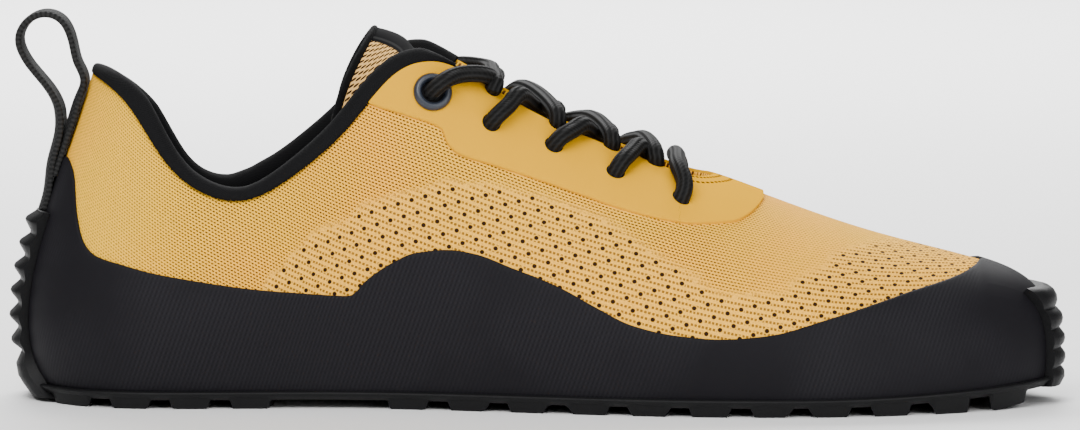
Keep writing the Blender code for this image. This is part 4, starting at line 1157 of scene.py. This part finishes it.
# Ribs from a hole to where its strand crosses the edge, and the ribs where strands dive under the other flap
SWINGS = (1.02, 0.27, 0.30, 0.24)
DIVES = (None, 10.40, 11.25, 12.00, 12.71)
LIFTS = (0.0005, 0.0016, 0.0018, 0.0018)


def on_film(t, v, lift):
    """A place on the skin, plus its normal times the film's thickness and a lift."""
    point, normal, _ = skin_frame(np.array([float(t)]), np.array([float(v)]))
    return point[0] + normal[0] * (FILM_OUT + lift)


def strand(start, end, side, over):
    """Out of a hole on one side, over its edge, across, and under the other edge to the next hole."""
    t0, v0 = HOLES[start]
    t1, v1 = HOLES[end]
    edge0 = t0 + SWINGS[start]
    edge1 = DIVES[end]
    top0 = float(top_share(np.array([edge0]))[0])
    top1 = float(top_share(np.array([edge1]))[0])
    r = LACE_RADIUS
    ring = 0.0014 if start == 0 else 0.0
    route = [
        on_film(t0 * side, v0, -0.0040),
        on_film(t0 * side, v0, ring - 0.0004),
        on_film((t0 + 0.17 * SWINGS[start]) * side, v0 + 0.18 * (top0 - v0), r + ring),
        on_film((t0 + 0.57 * SWINGS[start]) * side, v0 + 0.60 * (top0 - v0), r + 0.0002),
        on_film(edge0 * side, top0, r + 0.0002),
    ]
    far_edge = on_film(edge1 * -side, top1, r - 0.0002)
    middle = (route[-1] + far_edge) / 2
    middle[2] += LIFTS[start] if over else -0.0018
    route.append(middle)
    route.append(far_edge + np.array([0, side * 0.0006, -0.0004]))
    route.append(on_film((edge1 + 0.04) * -side, top1, -0.0030) + np.array([0, side * -0.0030, -0.0006]))
    route.append(on_film((edge1 + 0.06) * -side, top1 - 0.06, -0.0046))
    route.append(on_film(t1 * -side, v1, -0.0042))
    return smooth_path(route, 72)


grids = []
for k in range(4):
    for side, over in ((1, False), (-1, True)):
        path = strand(k, k + 1, side, over)
        grids.append((*tube(path, LACE_RADIUS, LACE_RADIUS, 16), None))
t0, v0 = HOLES[4]
top0 = float(top_share(np.array([t0]))[0])
bar = [
    on_film(t0, v0, -0.0035),
    on_film(t0, v0, 0.0),
    on_film(t0 - 0.06, v0 + 0.3 * (top0 - v0), LACE_RADIUS),
    on_film(t0 - 0.26, v0 + 0.85 * (top0 - v0), LACE_RADIUS + 0.0004),
]
lift = np.array([0, 0, 0.0010])
half = bar + [bar[-1] * np.array([1, 0.35, 1]) + lift]
mirror = [p * np.array([1, -1, 1]) for p in half[::-1]]
path = smooth_path(half + mirror, 80)
grids.append((*tube(path, LACE_RADIUS, LACE_RADIUS, 16), None))
lace_length = sum(float(grid_uv[..., 0].max()) for _, grid_uv, _ in grids)
print("lace in all, m", round(lace_length, 3))
piece("lace", grids, [cord_look], node="laces")


# %% [markdown]
# ## Top eyelets
# Each top hole has a pressed metal ring. A profile turned round the hole's axis gives its rolled rim.

# %% Rings
def turned(centre, axis, profile, sides=48):
    """Profile points (radius, height) carried round an axis; returns a closed grid."""
    axis = axis / np.linalg.norm(axis)
    first = np.cross(axis, [1.0, 0.0, 0.0])
    first /= np.linalg.norm(first)
    second = np.cross(axis, first)
    angle = np.linspace(0, 2 * np.pi, sides + 1)
    radius, height = np.array(profile).T
    way = np.cos(angle)[:, None, None] * first + np.sin(angle)[:, None, None] * second
    return centre + radius[None, :, None] * way + height[None, :, None] * axis


RING = (
    (0.0030, -0.0030), (0.0030, 0.0004), (0.0033, 0.0011), (0.0040, 0.0014), (0.0047, 0.0011),
    (0.0052, 0.0004), (0.0052, 0.0), (0.0036, -0.0004), (0.0036, -0.0030), (0.0030, -0.0030),
)
for name, side in (("eyelet_medial", 1), ("eyelet_lateral", -1)):
    t, v = HOLES[0]
    point, normal, _ = skin_frame(np.array([t * side]), np.array([v]))
    ring = turned(point[0] + normal[0] * FILM_OUT, normal[0], RING)
    piece(name + "_ring", [(ring, None, None)], [ring_look], node=name)

# %% [markdown]
# ### Holes
# Where the lace goes in, the eye expects a dark hole. The film isn't cut: a thin dark disc over it reads
# the same at this size and keeps the film one clean sheet.

# %% Dark holes under the lace
grids = []
for k, (t, v) in enumerate(HOLES):
    for side in (1, -1):
        point, normal, _ = skin_frame(np.array([t * side]), np.array([v]))
        radius = 0.0031 if k == 0 else 0.0026
        centre = point[0] + normal[0] * (FILM_OUT + 0.00005)
        disc = turned(centre, normal[0], ((0.0, 0.00006), (radius, 0.0)), 24)
        grids.append((disc, None, None))
piece("hole_shadows", grids, [lining], closed=False)

# %% [markdown]
# ## Pull loop
# The loop is flat webbing. A rounded flat section is carried along a route that climbs the heel's back
# and turns over in a loop.

# %% Webbing
PULL_STRIP = ((0.546, 0.0006), (0.600, 0.0008), (0.660, 0.0020))
# The route off the heel: metres ahead of the heel's back, share of HEIGHT
PULL_ROUTE = (
    (0.0066, 0.722), (0.0079, 0.780), (0.0078, 0.840), (0.0061, 0.893), (0.0027, 0.945), (-0.0006, 0.996),
    (-0.0022, 1.052), (0.0002, 1.103), (0.0050, 1.124), (0.0098, 1.100), (0.0122, 1.040), (0.0134, 0.985),
)
INNER_LEG = (0.925, 0.870, 0.810, 0.750, 0.690, 0.645)
TAPE = 0.0020
HEEL_ROUND = 0.018
TAPE_WIDTH = 0.0135
zs, off = np.transpose(PULL_STRIP)
zs = HEIGHT * zs
heel = np.zeros_like(zs)
point, normal, _ = skin_frame(heel, reach(heel, lambda p: p[..., 2] >= zs))
tape_leg = point + normal * (off + TAPE / 2)[:, None]
loop = np.array([[float(along(0)) + x, 0.0, HEIGHT * z] for x, z in PULL_ROUTE])
zs = HEIGHT * np.array(INNER_LEG)
heel = np.zeros_like(zs)
point, normal, _ = skin_frame(heel, reach(heel, lambda p: p[..., 2] >= zs))
inner_leg = point + normal * (0.0007 + TAPE / 2)
path = smooth_path(np.concatenate([tape_leg, loop, inner_leg]), 210)
ways = np.gradient(path, axis=0)
ways /= np.linalg.norm(ways, axis=1, keepdims=True)
flat = np.stack([-ways[:, 2], ways[:, 1], ways[:, 0]], -1)
angle = np.linspace(0, 2 * np.pi, 33)
wide_part = np.sign(np.cos(angle)) * np.abs(np.cos(angle)) ** 0.35 * TAPE_WIDTH / 2
flat_part = np.sign(np.sin(angle)) * np.abs(np.sin(angle)) ** 0.6 * TAPE / 2
thickness_way = flat[:, None] * flat_part[None, :, None]
width_way = np.array([0, 1, 0]) * wide_part[None, :, None]
rings = path[:, None] + thickness_way + width_way
hug = np.clip((0.090 - path[:, 2]) / 0.012, 0, 1)[:, None]
rings[..., 0] += hug * rings[..., 1] ** 2 / (2 * HEEL_ROUND)
ends = np.repeat(rings[[0, -1]].mean(axis=1, keepdims=True), 33, axis=1)
rings = np.concatenate([ends[:1], rings, ends[1:]])
run = np.concatenate([[0.0], np.cumsum(np.linalg.norm(np.diff(rings[:, 0], axis=0), axis=1))])
uv = np.stack(np.broadcast_arrays(run[:, None], wide_part[None, :]), -1)
print("webbing, m", round(float(run[-1]), 3))
piece("pull_loop_webbing", [(rings, uv, None)], [webbing], node="pull_loop")

# %% [markdown]
# ## Outsole
# The outsole is one moulding. Its section at each station runs down one side wall with a small lip,
# across the tread, up the other wall and back over the top. Lugs are pushed down from the tread by a
# smooth box function.

# %% Plan of the sole
LUG = 0.0024
SOLE_BEVEL = 0.0008
SOLE_MARGIN = 0.0014
WRAP_SEAT = 0.0011
LUG_ROW = 0.0105
LUG_SPACE = 0.0055
LUG_EDGES = (0.0, 0.15, 0.22, 0.37, 0.43, 0.57, 0.63, 0.78, 0.85, 1.0)
CHEVRON = 0.0045
ARCH_SKIP = 0.026
HEEL_ROWS = 4
HEEL_RISE = 0.0012
# The outermost lugs run this share past the tread's edge, so that the sole's side cuts them
PAST_EDGE = 0.2


def margin_at(ts):
    """The wall stands out further at the two ends, where it carries the toothed strips."""
    heel = np.clip(1.7 - np.abs(ts), 0, 1)
    toe = np.clip(np.abs(ts) - LAST_RIB + 1.7, 0, 1)
    return (SOLE_MARGIN + WRAP_SEAT * (heel + toe))[:, None]


def plan(ts, shares, margin):
    """Inner edge times (1 - w) plus outer edge times w, both moved out by the margin.

    Rows bow to the toe by CHEVRON times a half sine wave across them.
    """
    inner, inner_way = feather(ts)
    outer, outer_way = feather(-ts)
    inner = inner + inner_way * margin
    outer = outer + outer_way * margin
    w = np.asarray(shares)[None, :, None]
    made = inner[:, None, :] * (1 - w) + outer[:, None, :] * w
    width = np.linalg.norm(inner - outer, axis=-1)[:, None]
    bow = CHEVRON * np.clip(width / BALL * 2 - 0.7, 0, 1) * np.sin(np.pi * np.asarray(shares))[None, :]
    made[..., 0] += bow
    return made, bow


def soft_box(place, low, high, soft):
    """1 between low and high, 0 outside, with soft shoulders."""
    up = np.clip((place - low) / soft + 0.5, 0, 1)
    down = np.clip((high - place) / soft + 0.5, 0, 1)
    return (up * up * (3 - 2 * up)) * (down * down * (3 - 2 * down))


# %% [markdown]
# ### Tread
# The lugs stand in rows, with a bare waist between heel and forefoot. Cutting each from a block would
# leave hard seams, so the flat floor is pushed down by a soft box for each lug instead.

# %% Tread
lug_starts = [-0.5 * LUG_ROW - (LUG_ROW + LUG_SPACE) + k * (LUG_ROW + LUG_SPACE) for k in range(HEEL_ROWS)]
x = lug_starts[-1] + LUG_ROW + LUG_SPACE + ARCH_SKIP
while x + LUG_ROW + LUG_SPACE < float(along(1.0)) + 0.001:
    lug_starts.append(x)
    x += LUG_ROW + LUG_SPACE
HEEL_END = 2
TOE_START = 19.4
sole_ts = np.concatenate([
    np.linspace(0, HEEL_END, 36),
    np.linspace(HEEL_END, TOE_START, 330)[1:],
    np.linspace(TOE_START, LAST_RIB, 40)[1:],
])
sole_shares = np.linspace(0, 1, 81)
floor, bow = plan(sole_ts, sole_shares, margin_at(sole_ts) - SOLE_BEVEL)
top_z = feather_height(floor[..., 0]) - GAP
plate_z = top_z - (SOLE - GAP - LUG)
rim = np.clip((along(0.05) - floor[..., 0]) / (0.05 * LENGTH), 0, 1) ** 2
toe = np.clip((floor[..., 0] - along(0.93)) / (0.07 * LENGTH), 0, 1) ** 2
tread = HEEL_RISE * rim + TOE_RISE * toe
lug = np.zeros_like(top_z)
row_place = floor[..., 0] - bow
for start in lug_starts:
    row = soft_box(row_place, start + 0.0003, start + LUG_ROW - 0.0003, 0.0009)
    for k in (0, 2, 4, 6, 8):
        low = LUG_EDGES[k] - (PAST_EDGE if k == 0 else 0)
        high = LUG_EDGES[k + 1] + (PAST_EDGE if k == 8 else 0)
        cell = soft_box(np.broadcast_to(sole_shares, lug.shape), low, high, 0.016)
        lug = np.maximum(lug, row * cell)
bottom = floor.copy()
bottom[..., 2] = plate_z - (plate_z - tread) * lug
print("rows of lugs", len(lug_starts))

# %% [markdown]
# ### Side walls
# The sole's side swells a little and ends in a small lip under the rand. A short profile gives how far
# out and how high each row stands, and the rows follow the plan's two edges.

# %% Side walls
# How far out, and the share of the way up from the plate
walls = ((0.0008, 0.30), (0.0014, 0.55), (0.0017, 0.80), (0.0016, 0.97), (0.0011, 1.10), (0.0003, 1.08))
wall_rows = []
for out, rise in walls:
    edge, _ = plan(sole_ts, (0.0, 1.0), margin_at(sole_ts) - SOLE_BEVEL + out)
    edge[..., 2] = feather_height(edge[..., 0]) - GAP - (SOLE - GAP - LUG) * (1 - rise)
    wall_rows.append(edge)
inner_wall = np.stack([edge[:, 0] for edge in wall_rows[::-1]], axis=1)
outer_wall = np.stack([edge[:, 1] for edge in wall_rows], axis=1)
cover, _ = plan(sole_ts, sole_shares[::8], margin_at(sole_ts) - SOLE_BEVEL - 0.0008)
cover[..., 2] = feather_height(cover[..., 0]) - GAP
loop = np.concatenate([inner_wall, bottom, outer_wall, cover[:, ::-1], inner_wall[:, :1]], axis=1)
sole_grid = (loop, None, None)


# %% [markdown]
# ### Toothed strips
# At the heel and the toe the rubber runs up over the rand as a strip of teeth. The strip's base is read
# from the last's own outline at each height, and a saw wave pushes the teeth out.

# %% Sections of a strip
def end_slice(z, near, far):
    """The last's outline at one height round an end of the shoe."""
    ts = np.linspace(near, far, 160)
    runs = []
    for side in (-1, 1):
        signed = ts * side
        signed = signed[skin(signed, np.ones_like(signed))[:, 2] > z]
        runs.append(skin(signed, reach(signed, lambda p: p[..., 2] >= z))[:, :2])
    points = np.concatenate(runs)
    return points[np.argsort(points[:, 1])]


def strip(heel, low, high, teeth, depth, half, middle, flare):
    """Rows of points up the strip, outer face then inner face, as one closed section a row."""
    near, far = (0.0, 3.2) if heel else (16.8, LAST_RIB - 0.02)
    outward = -1.0 if heel else 1.0
    saw = ((0.0, 0.0), (0.10, 0.10), (0.40, 0.86), (0.48, 1.0), (0.56, 0.94), (0.90, 0.10))
    if not heel:
        saw = ((0.0, 0.0), (0.10, 0.42), (0.26, 0.80), (0.46, 1.0), (0.66, 0.96), (0.84, 0.62), (0.94, 0.20))
    rows = [(k + share, tooth) for k in range(teeth) for share, tooth in saw] + [(teeth, 0.0)]
    if heel:
        bumper = [(0.0, 0.25), (0.35, 0.85), (0.8, 1.25), (1.2, 1.35), (1.6, 1.1), (1.9, 0.3)]
        rows = bumper + [row for row in rows if row[0] >= 2]
    zs = np.array([low + (high - low) * k / teeth for k, _ in rows])
    halves = half + flare * np.clip(1 - (zs - low) / 0.013, 0, 1) ** 2
    ys = middle + halves[:, None] * np.linspace(-1, 1, 17)
    foot = float(feather_height(along(0.0 if heel else 1.0)))
    xs = []
    for z, row_ys in zip(zs, ys):
        outline = end_slice(max(z, foot + 1e-4), near, far)
        under = 1.1 * max(0.0, foot - 0.0015 - z) * -outward
        xs.append(np.interp(row_ys, outline[:, 1], outline[:, 0]) + under)
    point = np.stack([np.array(xs), ys, np.broadcast_to(zs[:, None], ys.shape)], -1)
    normal = np.cross(np.gradient(point, axis=1), np.gradient(point, axis=0)) * outward
    normal /= np.linalg.norm(normal, axis=-1, keepdims=True)
    fade = 1 - 0.65 * np.abs(np.linspace(-1, 1, 17)) ** 8
    out = 0.0014 + 0.0014 + np.array([tooth for _, tooth in rows])[:, None] * depth * fade[None, :]
    outer = point + normal * out[..., None]
    inner = point + normal * 0.0009
    rings = np.concatenate([inner, outer[:, ::-1], inner[:, :1]], axis=1)
    rings[..., 2] = np.maximum(rings[..., 2], low)
    caps = np.repeat(rings[[0, -1]].mean(axis=1, keepdims=True), rings.shape[1], axis=1)
    return np.concatenate([caps[:1], rings, caps[1:]])


# %% Both strips and the whole outsole
heel_strip = strip(True, 0.0010, 0.0500, 8, 0.0023, 0.0110, 0.0, 0.008)
toe_strip = strip(False, 0.0048, 0.0295, 5, 0.0018, 0.0115, float(BALL * column("outer")[-1]), 0.0)
sole_grids = [sole_grid, (heel_strip, None, None), (toe_strip, None, None)]
piece("outsole_rubber", sole_grids, [rubber], node="outsole", smooth=32)

# %% [markdown]
# ## Insole
# A thin foam sheet lies on the sole. It is dished a little, so its rim turns up along the wall.

# %% Insole sheet
in_ts = np.concatenate([np.linspace(0, 3, 30), np.linspace(3, 19, 90)[1:], np.linspace(19, LAST_RIB, 24)[1:]])
in_shares = np.linspace(0, 1, 31)
sheet, _ = plan(in_ts, in_shares, np.full((len(in_ts), 1), -0.0046))
dish = 0.0006 * np.abs(2 * in_shares - 1) ** 4
low_face = sheet.copy()
low_face[..., 2] = feather_height(sheet[..., 0]) + 0.0001
high_face = sheet.copy()
high_face[..., 2] = low_face[..., 2] + 0.0028 + dish[None, :]
loop = np.concatenate([low_face, high_face[:, ::-1], low_face[:, :1]], axis=1)
insole = piece("insole_sheet", [(loop, None, None)], [foam], node="insole", smooth=60)

# %% [markdown]
# ## Floor
# A plain pale floor, large enough to reach past the view, catches a soft shadow.

# %% Floor
floor_mesh = bpy.data.meshes.new("floor")
floor_mesh.from_pydata([(-6, -6, 0), (6, -6, 0), (6, 9, 0), (-6, 9, 0)], [], [(0, 1, 2, 3)])
floor_look, tree, shader = finish("floor_pale", (0.90, 0.90, 0.90), 0.7)
floor_mesh.materials.append(floor_look)
floor_object = bpy.data.objects.new("floor", floor_mesh)
bpy.context.scene.collection.objects.link(floor_object)
